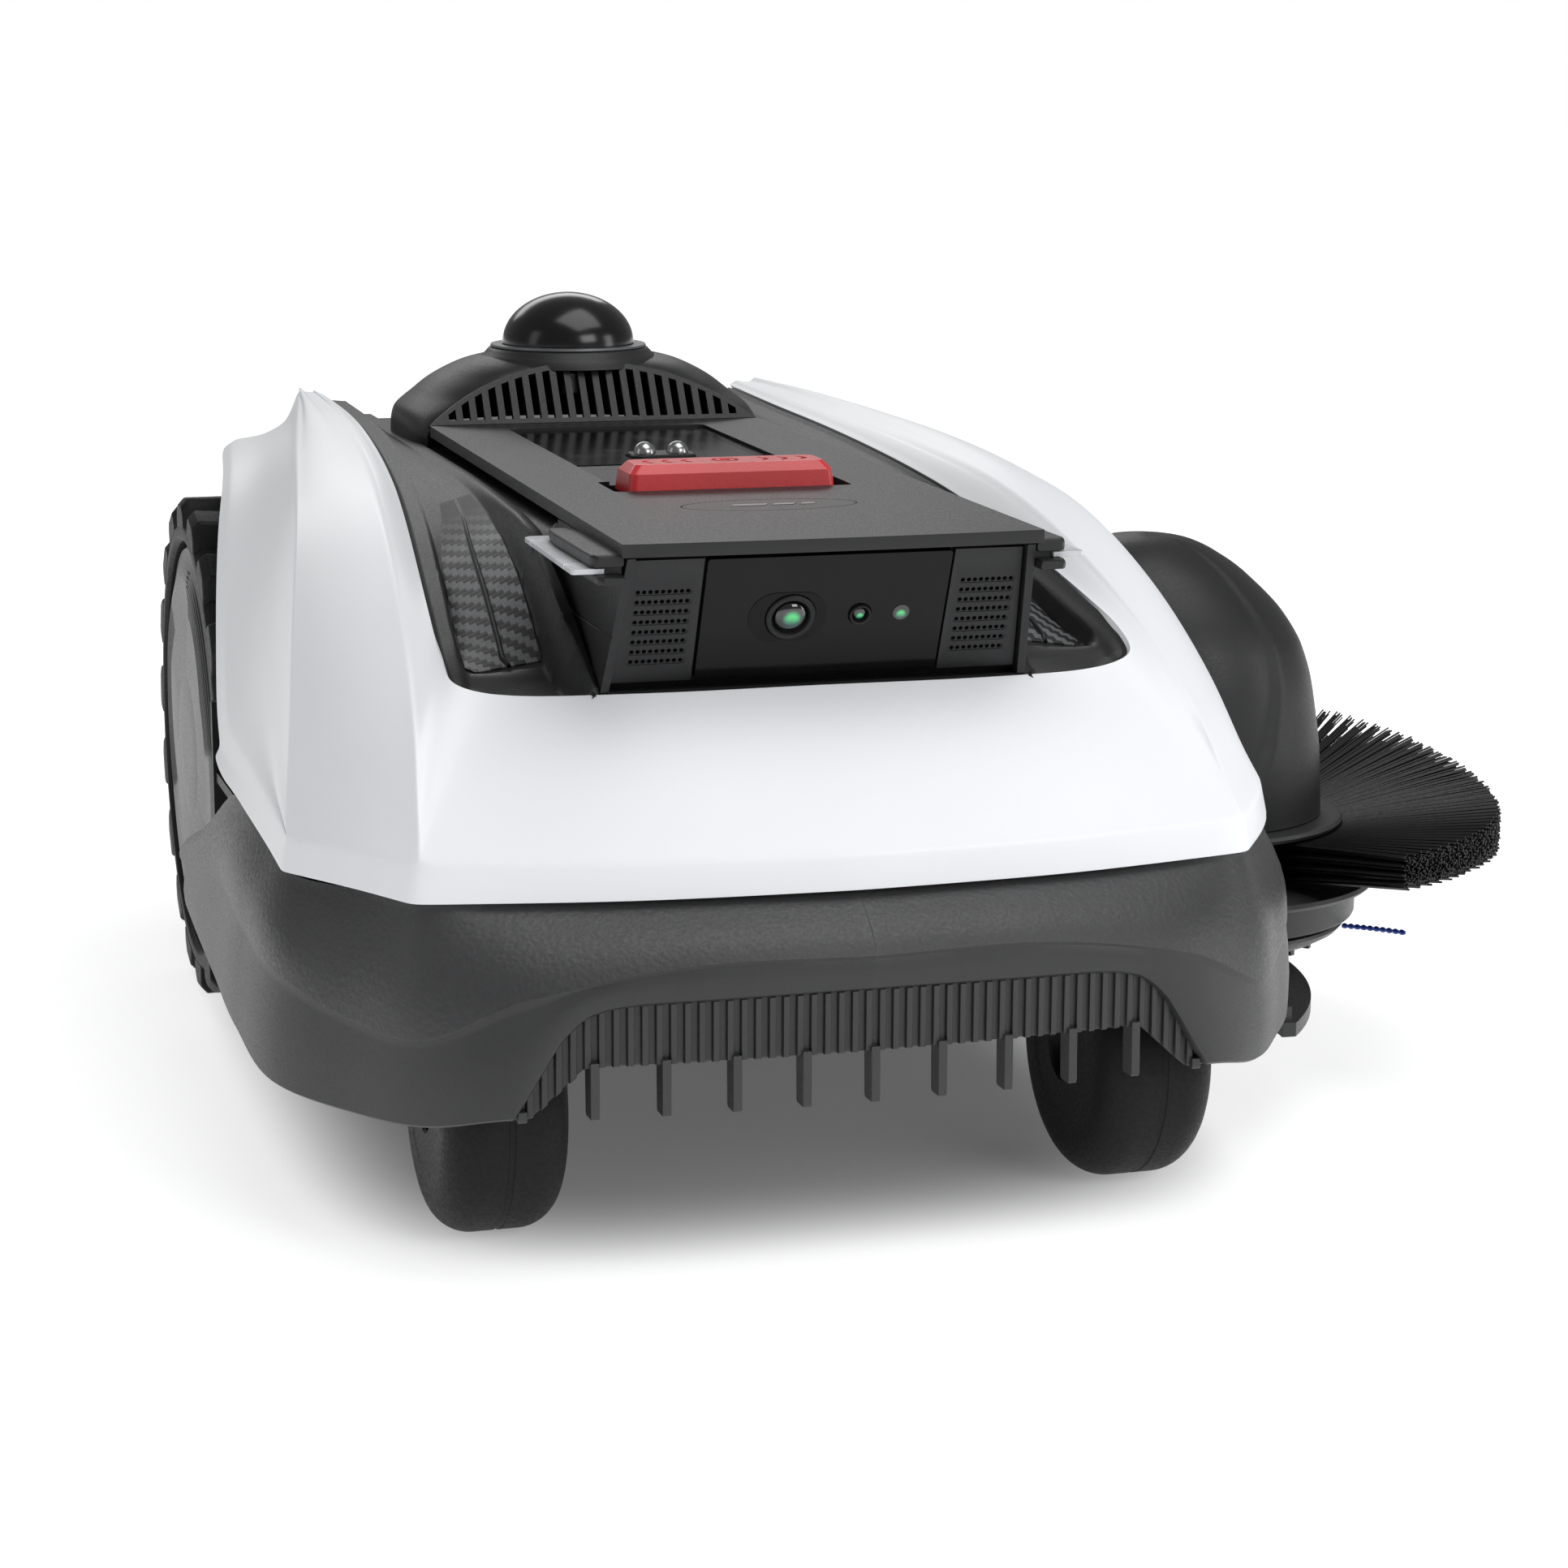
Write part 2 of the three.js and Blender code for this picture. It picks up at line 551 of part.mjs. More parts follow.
function chassis() {
  const half = [
    [0, -107], [64, -104], [116, -94], [138, -87], [156, -60], [170, -32], [175, 10], [180, 60], [181, 164],
  ];
  const outline = [...half, ...half.slice(1).map(([x, y]) => [-x, y]).reverse()];
  const floor = slab(shapeOf(outline), FLOOR.z, FLOOR.z + FLOOR.thickness);
  const { halfWidth, front, rear, bottom, top, wall } = TUB;
  const tub = cut(
    box(-halfWidth, halfWidth, front - 10, rear, bottom, top),
    box(-halfWidth + wall, halfWidth - wall, front - 10 + wall, rear - wall, bottom + wall, top + 10),
  );
  const arches = [box(-182, -122, front - 10, front - 10 + wall, 96, 150),
    box(122, 182, front - 10, front - 10 + wall, 96, 150)];
  const atCaster = (geometry, side) => moved(geometry, side * CASTER.x, CASTER.y, 0);
  const casterSeats = [-1, 1].map((side) => atCaster(rod(15, FLOOR.z - 6, FLOOR.z + 14), side));
  const casterBores = [-1, 1].map((side) => atCaster(rod(8.5, 90, 140), side));
  const guides = [-1, 1].map((side) => moved(rod(4, 58, FLOOR.z + 1, 12), side * 20, 140, 0));
  const axleBores = rod(14, -140, 140, 24).rotateY(Math.PI / 2).translate(0, DRIVE.y, DRIVE.radius);
  return cut(join(floor, tub, ...arches, ...casterSeats, ...guides), ...casterBores, axleBores);
}

// ---------------------------------------------------------------- wheels
// The tread from the side: each lug rises on a ramp and ends on a step. Phase turns it by a share of a lug.
function toothedRing(phase) {
  const { radius, lugs, lugHeight, seat } = DRIVE;
  const lug = [[radius - lugHeight, 0], [radius - lugHeight, 0.38], [radius, 0.5], [radius, 0.88]];
  const points = [];
  for (let i = 0; i < lugs; i += 1) {
    for (const [r, part] of lug) {
      const angle = ((i + part + phase) / lugs) * 2 * Math.PI;
      points.push([r * Math.cos(angle), r * Math.sin(angle)]);
    }
  }
  const outline = shapeOf(points);
  const bore = new THREE.Path();
  bore.absarc(0, 0, seat, 0, 2 * Math.PI, true);
  outline.holes.push(bore);
  return outline;
}

// Wheels are drawn lying on their inner face, with the outer face up, then stood on their axis.
function onAxis(geometry, side) {
  return geometry.rotateY(side * Math.PI / 2).translate(0, DRIVE.y, DRIVE.radius);
}

function tyre(side) {
  const { inner, outer } = DRIVE;
  const middle = (inner + outer) / 2;
  const rows = [
    slab(toothedRing(0), inner, middle, 12),
    slab(toothedRing(0.5), middle - 0.01, outer - 1, 12),
  ];
  return onAxis(join(...rows), side);
}

function driveWheel(side) {
  const rim = turned([
    [9, 134], [30, 134], [30, 150], [80, 150], [80, 132], [86.6, 132], [86.6, 172], [80, 172], [80, 158],
    [30, 158], [30, 164], [9, 164], [9, 134],
  ], 20);
  const axle = rod(9.5, 88, 165, 16);
  return onAxis(join(rim, axle), side);
}

function hubCap(side) {
  const cap = turned([
    [0, 172.6], [85.5, 172.6], [85.5, 174.5], [72, 177.4], [0, 178],
  ], 32);
  return onAxis(cap, side);
}

function driveMotor(side) {
  const gearbox = rod(34, 80, 118, 24);
  const motor = rod(24, 18, 81, 24);
  return onAxis(cut(join(gearbox, motor), rod(10.5, 86, 130, 20)), side);
}

function casterWheel() {
  const { radius, halfWidth, shoulder } = CASTER;
  const rounding = (direction) => Array.from({ length: 4 }, (_, i) => {
    const angle = (i / 3) * (Math.PI / 2);
    return [radius - shoulder + shoulder * Math.sin(angle), halfWidth - shoulder + shoulder * Math.cos(angle)]
      .map((value, axis) => (axis ? value * direction : value));
  });
  const profile = [
    [4.5, -halfWidth + 3], [12, -halfWidth + 3], [14, -halfWidth], ...rounding(-1),
    ...rounding(1).reverse(), [14, halfWidth], [12, halfWidth - 3], [4.5, halfWidth - 3],
    [4.5, -halfWidth + 3],
  ];
  return turned(profile, 20).rotateY(Math.PI / 2);
}

function casterArm() {
  const { trail, radius, halfWidth } = CASTER;
  const axle = rod(4, -halfWidth + 4, halfWidth + 3, 16).rotateY(Math.PI / 2).translate(0, -trail, radius);
  const x0 = halfWidth + 1;
  const flank = [[-trail - 9, radius - 6], [-trail + 9, radius - 6], [12, 104], [-14, 104]];
  const arm = sidePrism(flank, x0, x0 + 5);
  const bridge = box(-12, x0 + 5, -14, 12, 99, 104);
  const stem = rod(8, 103, 136, 24);
  return join(axle, arm, bridge, stem);
}

// ---------------------------------------------------------------- cutting system
function deckCarrier() {
  const plate = slab(roundedRectangle(94, 62, 150, 14), 68, 72);
  const bores = [-1, 1].flatMap((side) => [
    moved(rod(5, 60, 80, 12), side * 20, 140, 0),
    moved(rod(7, 60, 80, 16), side * BLADES.x, BLADES.y, 0),
  ]);
  return cut(plate, ...bores);
}

function bladeMotor(side) {
  return moved(rod(30, 72.4, 98, 32), side * BLADES.x, BLADES.y, 0);
}

function bladeDisc(side) {
  const disc = rod(48, 43, 47, 32);
  const shaft = rod(5, 46, 71.8, 16);
  const pins = Array.from({ length: BLADES.count }, (_, i) => {
    const angle = (i / BLADES.count) * 2 * Math.PI;
    const pin = join(rod(3, 37.4, 44, 8), rod(6, 36, 38, 10));
    return moved(pin, BLADES.pivot * Math.cos(angle), BLADES.pivot * Math.sin(angle), 0);
  });
  return moved(join(disc, shaft, ...pins), side * BLADES.x, BLADES.y, 0);
}

function blade(side, index) {
  const { reach, pivot, count, z } = BLADES;
  const length = reach - pivot;
  const outline = roundedRectangle(8, -7, length, 3);
  const plate = cut(slab(outline, z, z + 1.6, 2), rod(3.8, z - 2, z + 4, 8));
  const angle = (index / count) * 2 * Math.PI;
  return plate.rotateZ(angle - Math.PI / 2)
    .translate(side * BLADES.x + pivot * Math.cos(angle), BLADES.y + pivot * Math.sin(angle), 0);
}

// ---------------------------------------------------------------- edge trimmer
function outboard(z0, z1) {
  const keep = [[198.4, z0], [198.4, 100], [194, 150], [166, 216], [166, z1], [290, z1], [290, z0]];
  return frontPrism(shapeOf(keep), -60, 240);
}

function atTrimmer(geometry) {
  return geometry.translate(TRIMMER.x, TRIMMER.y, 0);
}

// The shift of each level of the housing towards the shell: height, shift.
const HOUSING_LEAN = [
  [98, 1.9], [127, 3.9], [144, 6], [157, 7.7], [171, 9.9], [185, 13.8], [195, 17.6], [205, 20], [214, 20],
];
const LEAN_INBOARD = 0.92;
const LEAN_BACK = 0.39;

function leaning(geometry) {
  const { position } = geometry.attributes;
  for (let i = 0; i < position.count; i += 1) {
    const [, shift] = rowAt(HOUSING_LEAN, position.getZ(i));
    position.setX(i, position.getX(i) - LEAN_INBOARD * shift);
    position.setY(i, position.getY(i) + LEAN_BACK * shift);
  }
  return geometry;
}

function trimmerHousing() {
  const outside = [
    [0, 101.5], [57, 101.5], [57.5, 127], [57.2, 145], [56, 163], [50.5, 182], [38, 200], [21, 210.5], [0, 214],
  ];
  const inside = [
    [0, 98], [53.5, 98], [54, 127], [53.7, 145], [52.5, 162], [47.5, 179], [36, 196.5], [20, 207], [0, 210.5],
  ];
  const dome = atTrimmer(cut(leaning(turned(outside, 32)), leaning(turned(inside, 32))));
  return common(dome, outboard(95, 230));
}

function trimmerFrame() {
  const flange = rod(64, 97, 101, 40);
  const lower = rod(78, 73, 77, 40);
  const ring = cut(rod(70, 60.5, 74, 40), rod(66.5, 55, 72, 40));
  const bore = rod(4, 50, 110, 16);
  const plates = atTrimmer(cut(join(flange, lower, ring), bore));
  const web = box(198.4, 200.2, 34, 146, 73.5, 100.5);
  return join(common(plates, outboard(50, 230)), web);
}

function trimmerMotor() {
  return atTrimmer(rod(21, 104, 160, 28)).translate(11, 0, 0);
}

function brushRing() {
  const from = -1.03;
  const to = 1.2;
  const steps = 16;
  const rings = [];
  for (let i = 0; i <= steps; i += 1) {
    const angle = from + ((to - from) * i) / steps;
    const front = THREE.MathUtils.clamp((angle - from) / 0.5, 0, 1);
    const tipLow = THREE.MathUtils.lerp(87, 91, front);
    const tipHigh = THREE.MathUtils.lerp(100, 113, front);
    const section = [
      [26, 78.5], [76, 80], [TRIMMER.tipRadius, tipLow], [TRIMMER.tipRadius, tipHigh], [64, 96], [26, 95.5],
    ];
    rings.push(section.map(([r, z]) => new THREE.Vector3(r * Math.cos(angle), r * Math.sin(angle), z)));
  }
  const tube = net(rings.map((ring) => [...ring, ring[0]]));
  const cap = (ring, flip) => {
    const points = flip ? [...ring].reverse() : ring;
    const triangles = [];
    for (let i = 1; i + 1 < points.length; i += 1) {
      triangles.push([points[0], points[i], points[i + 1]]);
    }
    const geometry = new THREE.BufferGeometry();
    geometry.setAttribute('position', new THREE.BufferAttribute(
      Float32Array.from(triangles.flat().flatMap((p) => [p.x, p.y, p.z])), 3));
    return geometry;
  };
  const closed = welded(mergeGeometries([tube, cap(rings[0], false), cap(rings[steps], true)]));
  return atTrimmer(closed);
}

// Lays a geometry drawn along Z on the way that the line leaves the spool head.
function alongLine(geometry) {
  return geometry.rotateY(Math.PI / 2).rotateZ(TRIMMER.lineAngle).translate(0, 0, TRIMMER.lineZ);
}

function spoolHead() {
  const bowl = turned([[0, 49], [50, 49], [60, 52], [66, 56], [66, 58.2], [0, 58.2]], 40);
  const shaft = rod(2.6, 57, 103.5, 12);
  return atTrimmer(cut(join(bowl, shaft), alongLine(rod(1.9, 62, 70, 8))));
}

function trimLine() {
  const { headRadius, lineTip } = TRIMMER;
  return atTrimmer(alongLine(rod(1.2, headRadius + GAP, lineTip, 8)));
}

function lineGuard() {
  const sweep = new THREE.Shape();
  sweep.absarc(78, 50, 151, -0.7, 0.14);
  sweep.lineTo(200, 71);
  sweep.lineTo(188, -47);
  const plate = slab(sweep, 42, 47.5, 16);
  const post = box(188.6, 193, -44, -14, 46, 52.9);
  return join(plate, post);
}

// ---------------------------------------------------------------- assembly
const mower = new THREE.Group();

function add(parent, name, geometry, finishName) {
  const mesh = new THREE.Mesh(geometry, finish(finishName));
  mesh.name = name;
  parent.add(mesh);
  return mesh;
}

const SIDES = [['left', -1], ['right', 1]];

add(mower, 'chassis', chassis(), 'satinBlack');
add(mower, 'front_skirt', frontSkirt(), 'skirtGrey');
add(mower, 'front_comb', frontComb(), 'skirtGrey');
add(mower, 'white_cover', whiteCover(), 'shellWhite');
add(mower, 'top_deck', topDeck(), 'satinBlack');

const hood = new THREE.Group();
hood.position.set(0, HOOD.frontY, HOOD_FRONT_Z);
hood.rotation.x = HOOD_TILT;
mower.add(hood);
const onHood = (geometry) => geometry.translate(0, -HOOD.frontY, 0);
add(hood, 'hood_plate', onHood(hoodPlate()), 'satinBlack');
add(hood, 'key_panel', onHood(keyPanel()), 'satinBlack');
add(hood, 'display_glass', onHood(displayGlass()), 'glossBlack');
add(hood, 'rain_sensor', onHood(rainSensor()), 'steel');
add(hood, 'stop_button', onHood(stopButton()), 'signalRed');
add(hood, 'start_key', onHood(key(-1)), 'satinBlack');
add(hood, 'home_key', onHood(key(1)), 'satinBlack');

add(mower, 'head_housing', headHousing(), 'satinBlack');
const face = new THREE.Group();
face.position.set(0, HEAD.frontBottomY, HEAD.bottomZ);
face.rotation.x = LEAN;
mower.add(face);
add(face, 'camera_window', cameraWindow(), 'glossBlack');
add(face, 'camera_lens', lens(8.8, -12), 'lensGreen');
add(face, 'sensor_lens', lens(3.8, 13), 'lensGreen');
for (const [word, side] of SIDES) {
  add(face, `speaker_grille_${word}`, speakerGrille(side), 'satinBlack');
  add(mower, `light_wing_${word}`, lightWing(side), 'clearPlastic');
  const inlay = side > 0 ? carbonInlay() : mirrorGeometry(carbonInlay());
  add(mower, `carbon_inlay_${word}`, inlay, 'carbon');
}

add(mower, 'vent_grille', ventGrille(), 'satinBlack');
add(mower, 'lidar_turret', lidarTurret(), 'satinBlack');
add(mower, 'lidar_ring', lidarRing(), 'steel');
add(mower, 'lidar_dome', lidarDome(), 'glossBlack');
add(mower, 'lidar_rotor', lidarRotor(), 'steel');

add(mower, 'battery_pack', box(-62, 62, 330, 398, 68, 128), 'cellGrey');
add(mower, 'main_board', box(-85, 85, -70, 60, 134, 136), 'boardGreen');
add(mower, 'charging_socket', box(-26, 26, TUB.rear + GAP, TUB.rear + 6, 84, 104), 'steel');

for (const [word, side] of SIDES) {
  add(mower, `drive_motor_${word}`, driveMotor(side), 'steel');
  add(mower, `drive_wheel_${word}`, driveWheel(side), 'satinBlack');
  add(mower, `tyre_${word}`, tyre(side), 'tyreRubber');
  add(mower, `hub_cap_${word}`, hubCap(side), 'skirtGrey');

  const caster = new THREE.Group();
  caster.position.set(side * CASTER.x, CASTER.y, 0);
  mower.add(caster);
  add(caster, `caster_arm_${word}`, casterArm(), 'satinBlack');
  const wheel = add(caster, `caster_wheel_${word}`, casterWheel(), 'tyreRubber');
  wheel.position.set(0, -CASTER.trail, CASTER.radius);

  add(mower, `blade_motor_${word}`, bladeMotor(side), 'steel');
  add(mower, `blade_disc_${word}`, bladeDisc(side), 'satinBlack');
  for (let i = 0; i < BLADES.count; i += 1) {
    add(mower, `blade_${word}_${i + 1}`, blade(side, i), 'steel');
  }
}
add(mower, 'deck_carrier', deckCarrier(), 'satinBlack');

add(mower, 'trimmer_housing', trimmerHousing(), 'satinBlack');
add(mower, 'trimmer_frame', trimmerFrame(), 'skirtGrey');
add(mower, 'trimmer_motor', trimmerMotor(), 'steel');
add(mower, 'brush_ring', brushRing(), 'bristle');
add(mower, 'spool_head', spoolHead(), 'skirtGrey');
add(mower, 'trim_line', trimLine(), 'nylonBlue');
add(mower, 'line_guard', lineGuard(), 'satinBlack');

// The origin is under the middle of the whole machine, on the lawn.
const part = new THREE.Group();
part.add(mower);
const bounds = new THREE.Box3().setFromObject(mower, true);
mower.position.set(-(bounds.min.x + bounds.max.x) / 2, -(bounds.min.y + bounds.max.y) / 2, -bounds.min.z);

export default part;
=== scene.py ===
"""Robotic lawn mower with an edge trimmer: the looks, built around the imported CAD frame.

Shapes are written in the mower's own millimetres (front towards -Y, symmetry plane X = 0, lawn Z = 0)
and placed in the frame by place().
"""

import json
import math
import random
from contextlib import contextmanager

import bmesh
import bpy
import numpy as np
from mathutils import Matrix, Vector


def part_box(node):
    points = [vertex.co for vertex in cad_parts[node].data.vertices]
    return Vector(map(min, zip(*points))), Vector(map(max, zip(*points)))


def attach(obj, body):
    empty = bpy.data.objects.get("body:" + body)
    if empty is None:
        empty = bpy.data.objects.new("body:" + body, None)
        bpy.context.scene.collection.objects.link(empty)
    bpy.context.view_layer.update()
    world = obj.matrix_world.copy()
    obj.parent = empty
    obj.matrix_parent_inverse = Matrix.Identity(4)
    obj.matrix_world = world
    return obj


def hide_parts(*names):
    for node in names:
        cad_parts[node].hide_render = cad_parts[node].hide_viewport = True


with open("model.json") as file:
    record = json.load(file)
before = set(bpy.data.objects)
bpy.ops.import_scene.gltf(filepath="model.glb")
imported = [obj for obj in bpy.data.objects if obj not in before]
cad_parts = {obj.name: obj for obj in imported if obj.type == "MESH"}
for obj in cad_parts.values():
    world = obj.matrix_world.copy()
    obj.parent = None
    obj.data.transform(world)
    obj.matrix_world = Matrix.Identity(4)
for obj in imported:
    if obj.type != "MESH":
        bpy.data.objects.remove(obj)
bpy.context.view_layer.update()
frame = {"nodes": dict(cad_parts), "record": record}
RANDOM = random.Random(7)


def node_centre(node):
    low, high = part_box(node)
    return (low + high) / 2


MM = 0.001
SIDES = (("left", -1), ("right", 1))
AXLE_Y = 288.0
SHIFT = np.array([node_centre("hood_plate").x, node_centre("tyre_left").y - AXLE_Y * MM, 0.0])


def place(point):
    """A point of the mower, in millimetres, as a point of the frame, in metres."""
    return np.asarray(point, float) * MM + SHIFT


# ------------------------------------------------------------------ materials
def feed(tree, socket, value):
    """Links a socket to another node's output, or sets it to a plain value."""
    if isinstance(value, bpy.types.NodeSocket):
        tree.links.new(value, socket)
    else:
        socket.default_value = value


def connect(tree, made, **inputs):
    """Feeds a node's inputs by name, with _ for a space."""
    for key, value in inputs.items():
        feed(tree, made.inputs[key.replace("_", " ")], value)
    return made


def node(tree, kind, **inputs):
    return connect(tree, tree.nodes.new(kind), **inputs)


def math_node(tree, operation, a, b=0.0):
    made = tree.nodes.new("ShaderNodeMath")
    made.operation = operation
    for index, value in enumerate((a, b)):
        feed(tree, made.inputs[index], value)
    return made.outputs[0]


def mix_colour(tree, factor, a, b):
    made = tree.nodes.new("ShaderNodeMix")
    made.data_type = "RGBA"
    for index, value in ((0, factor), (6, a), (7, b)):
        feed(tree, made.inputs[index], value)
    return made.outputs[2]


def ramp(tree, value, low, high, to_low=0.0, to_high=1.0):
    made = tree.nodes.new("ShaderNodeMapRange")
    made.interpolation_type = "SMOOTHSTEP"
    tree.links.new(value, made.inputs[0])
    for index, number in enumerate((low, high, to_low, to_high)):
        made.inputs[index + 1].default_value = number
    return made.outputs[0]


def new_material(name):
    material = bpy.data.materials.new(name)
    material.use_nodes = True
    tree = material.node_tree
    shader = tree.nodes["Principled BSDF"]
    where = tree.nodes.new("ShaderNodeTexCoord").outputs["Object"]
    return material, tree, shader, where


def plastic(name, colour, rough, grain=900.0, bump=0.12, depth=0.00012, wear=0.25, metallic=0.0,
            stretch=(1, 1, 1), pebble=0.0, coat=0.0, specular=0.5, mottling=0.1, spread=0.08):
    """Moulded or machined finish: mottled colour, uneven roughness, fine grain and lighter worn edges."""
    material, tree, shader, where = new_material(name)
    dark = (*[c * (1 - mottling) for c in colour], 1)
    light = (*[min(1.0, c * (1 + mottling)) for c in colour], 1)
    mapping = node(tree, "ShaderNodeMapping", Vector=where, Scale=stretch).outputs[0]
    cloud = node(tree, "ShaderNodeTexNoise", Vector=where, Scale=14.0, Detail=4.0).outputs["Fac"]
    fine = node(tree, "ShaderNodeTexNoise", Vector=mapping, Scale=grain, Detail=2.0).outputs["Fac"]
    base = mix_colour(tree, ramp(tree, cloud, 0.3, 0.7), dark, light)
    point = tree.nodes.new("ShaderNodeNewGeometry").outputs["Pointiness"]
    edge = math_node(tree, "MULTIPLY", ramp(tree, point, 0.53, 0.62), wear)
    worn = (*[min(1.0, c * 1.35 + 0.015) for c in colour], 1)
    connect(tree, shader, Base_Color=mix_colour(tree, edge, base, worn))
    connect(tree, shader, Roughness=ramp(tree, fine, 0.25, 0.75, rough - spread, rough + spread))
    height = fine
    if pebble:
        cells = tree.nodes.new("ShaderNodeTexVoronoi")
        cells.feature = "SMOOTH_F1"
        tree.links.new(mapping, cells.inputs["Vector"])
        cells.inputs["Scale"].default_value = pebble
        height = math_node(tree, "ADD", math_node(tree, "MULTIPLY", cells.outputs["Distance"], 1.6), fine)
    relief = node(tree, "ShaderNodeBump", Strength=bump, Distance=depth, Height=height)
    connect(tree, shader, Normal=relief.outputs[0])
    connect(tree, shader, Metallic=metallic, Specular_IOR_Level=specular, Coat_Weight=coat,
            Coat_Roughness=0.12)
    return material


def carbon():
    """Two-by-two twill under lacquer, its lighter threads a painted sheen, fading into plain black towards
    the rear.
    """
    thread = 0.0021
    fade_from, fade_to = place((0, 66, 0))[1], place((0, 118, 0))[1]
    material, tree, shader, where = new_material("carbon_twill")
    axes = node(tree, "ShaderNodeSeparateXYZ", Vector=where).outputs
    u = math_node(tree, "DIVIDE", axes[0], thread)
    v = math_node(tree, "DIVIDE", axes[1], thread * 1.5)
    step = math_node(tree, "ADD", math_node(tree, "FLOOR", u), math_node(tree, "FLOOR", v))
    twill = math_node(tree, "LESS_THAN", math_node(tree, "FLOORED_MODULO", step, 4.0), 1.9)
    across = math_node(tree, "PINGPONG", u, 0.5)
    along = math_node(tree, "PINGPONG", v, 0.5)
    height = math_node(tree, "ADD", math_node(tree, "MULTIPLY", twill, across),
                       math_node(tree, "MULTIPLY", math_node(tree, "SUBTRACT", 1.0, twill), along))
    strands = node(tree, "ShaderNodeTexNoise", Vector=where, Scale=2600.0, Detail=1.0).outputs["Fac"]
    # Painted sheen: the threads running one way are painted lighter than the others, as if they caught the
    # light.
    painted_sheen_threads = mix_colour(tree, ramp(tree, strands, 0.3, 0.7), (0.06, 0.062, 0.065, 1), (0.15, 0.155, 0.16, 1))
    weave = mix_colour(tree, twill, (0.006, 0.006, 0.007, 1), painted_sheen_threads)
    fade = ramp(tree, axes[1], fade_from, fade_to)
    connect(tree, shader, Base_Color=mix_colour(tree, fade, weave, (0.011, 0.0113, 0.012, 1)))
    relief = node(tree, "ShaderNodeBump", Strength=0.35, Distance=0.0002, Height=height)
    connect(tree, shader, Normal=relief.outputs[0])
    connect(tree, shader, Roughness=ramp(tree, strands, 0.2, 0.8, 0.4, 0.5))
    tree.links.new(math_node(tree, "SUBTRACT", 0.45, math_node(tree, "MULTIPLY", fade, 0.3)),
                   shader.inputs["Specular IOR Level"])
    return material


def glass(name, colour, rough, smudge, transmission=0.0, specular=0.5):
    """Polished black or tinted plastic, with faint smears that only show in its gloss."""
    material, tree, shader, where = new_material(name)
    smear = node(tree, "ShaderNodeTexNoise", Vector=where, Scale=60.0, Detail=5.0).outputs["Fac"]
    tint = mix_colour(tree, smear, (*colour, 1), (*[min(1.0, c * 1.5 + 0.001) for c in colour], 1))
    connect(tree, shader, Base_Color=tint)
    connect(tree, shader, Roughness=ramp(tree, smear, 0.45, 0.75, rough, rough + smudge))
    connect(tree, shader, Coat_Roughness=0.02, Transmission_Weight=transmission, Specular_IOR_Level=specular)
    return material


def lens_with_painted_glint(name, centre, radius):
    """Camera glass whose coating's green reflection is painted in: a green painted highlight on the upper
    half that fades into black at the rim, also given off as a faint painted glow.
    """
    material, tree, shader, where = new_material(name)
    shifted = node(tree, "ShaderNodeMapping", Vector=where)
    shifted.inputs["Location"].default_value = [-c / radius for c in centre]
    shifted.inputs["Scale"].default_value = (1 / radius,) * 3
    axes = node(tree, "ShaderNodeSeparateXYZ", Vector=shifted.outputs[0]).outputs
    reach = node(tree, "ShaderNodeCombineXYZ", X=axes[0], Z=axes[2]).outputs[0]
    length = tree.nodes.new("ShaderNodeVectorMath")
    length.operation = "LENGTH"
    tree.links.new(reach, length.inputs[0])
    # Painted reflection: the upper half of the middle of the glass is painted green, as if it caught the
    # light.
    upper = ramp(tree, axes[2], -0.35, 0.3)
    pool = ramp(tree, length.outputs["Value"], 0.62, 0.2)
    painted_glow = math_node(tree, "MULTIPLY", upper, pool)
    under = mix_colour(tree, pool, (0.002, 0.002, 0.002, 1), (0.004, 0.05, 0.055, 1))
    colour = mix_colour(tree, painted_glow, under, (0.05, 0.55, 0.16, 1))
    connect(tree, shader, Base_Color=colour)
    # Painted glow: the glass gives off its painted colour, though it is no lamp.
    connect(tree, shader, Emission_Color=colour)
    connect(tree, shader, Emission_Strength=0.25, Coat_Weight=1.0)
    smear = node(tree, "ShaderNodeTexNoise", Vector=where, Scale=400.0).outputs["Fac"]
    connect(tree, shader, Roughness=ramp(tree, smear, 0.4, 0.8, 0.02, 0.08))
    return material


WHITE = plastic("shell_white", (0.82, 0.838, 0.86), 0.40, grain=1300, bump=0.06, wear=0.0, mottling=0.008,
                spread=0.04)
BLACK = plastic("satin_black", (0.0125, 0.0128, 0.0138), 0.45, grain=1500, bump=0.1, pebble=900, wear=0.2,
                specular=0.35)
DEEP = plastic("deep_black", (0.008, 0.0082, 0.0088), 0.5, grain=1200, bump=0.12, wear=0.15, specular=0.3)
SKIRT = plastic("skirt_grey", (0.034, 0.0345, 0.036), 0.47, grain=900, bump=0.3, depth=0.0003, pebble=520,
                wear=0.2)
LIP = plastic("skirt_lip", (0.022, 0.0224, 0.0235), 0.46, grain=1500, bump=0.12, pebble=900, wear=0.3)
RUBBER = plastic("tyre_rubber", (0.0045, 0.0046, 0.0049), 0.55, grain=700, bump=0.16, wear=0.35,
                 specular=0.22)
WHEEL = plastic("wheel_plastic", (0.02, 0.0205, 0.0215), 0.42, grain=1400, bump=0.1, pebble=800, wear=0.3)
RED = plastic("stop_red", (0.56, 0.022, 0.026), 0.34, grain=1500, bump=0.05, wear=0.35, coat=0.15)
STEEL = plastic("sensor_steel", (0.36, 0.365, 0.37), 0.24, grain=900, metallic=1.0, wear=0.1, bump=0.03)
MOTOR = plastic("motor_metal", (0.33, 0.34, 0.35), 0.36, grain=700, metallic=1.0, stretch=(1, 1, 0.05),
                bump=0.1)
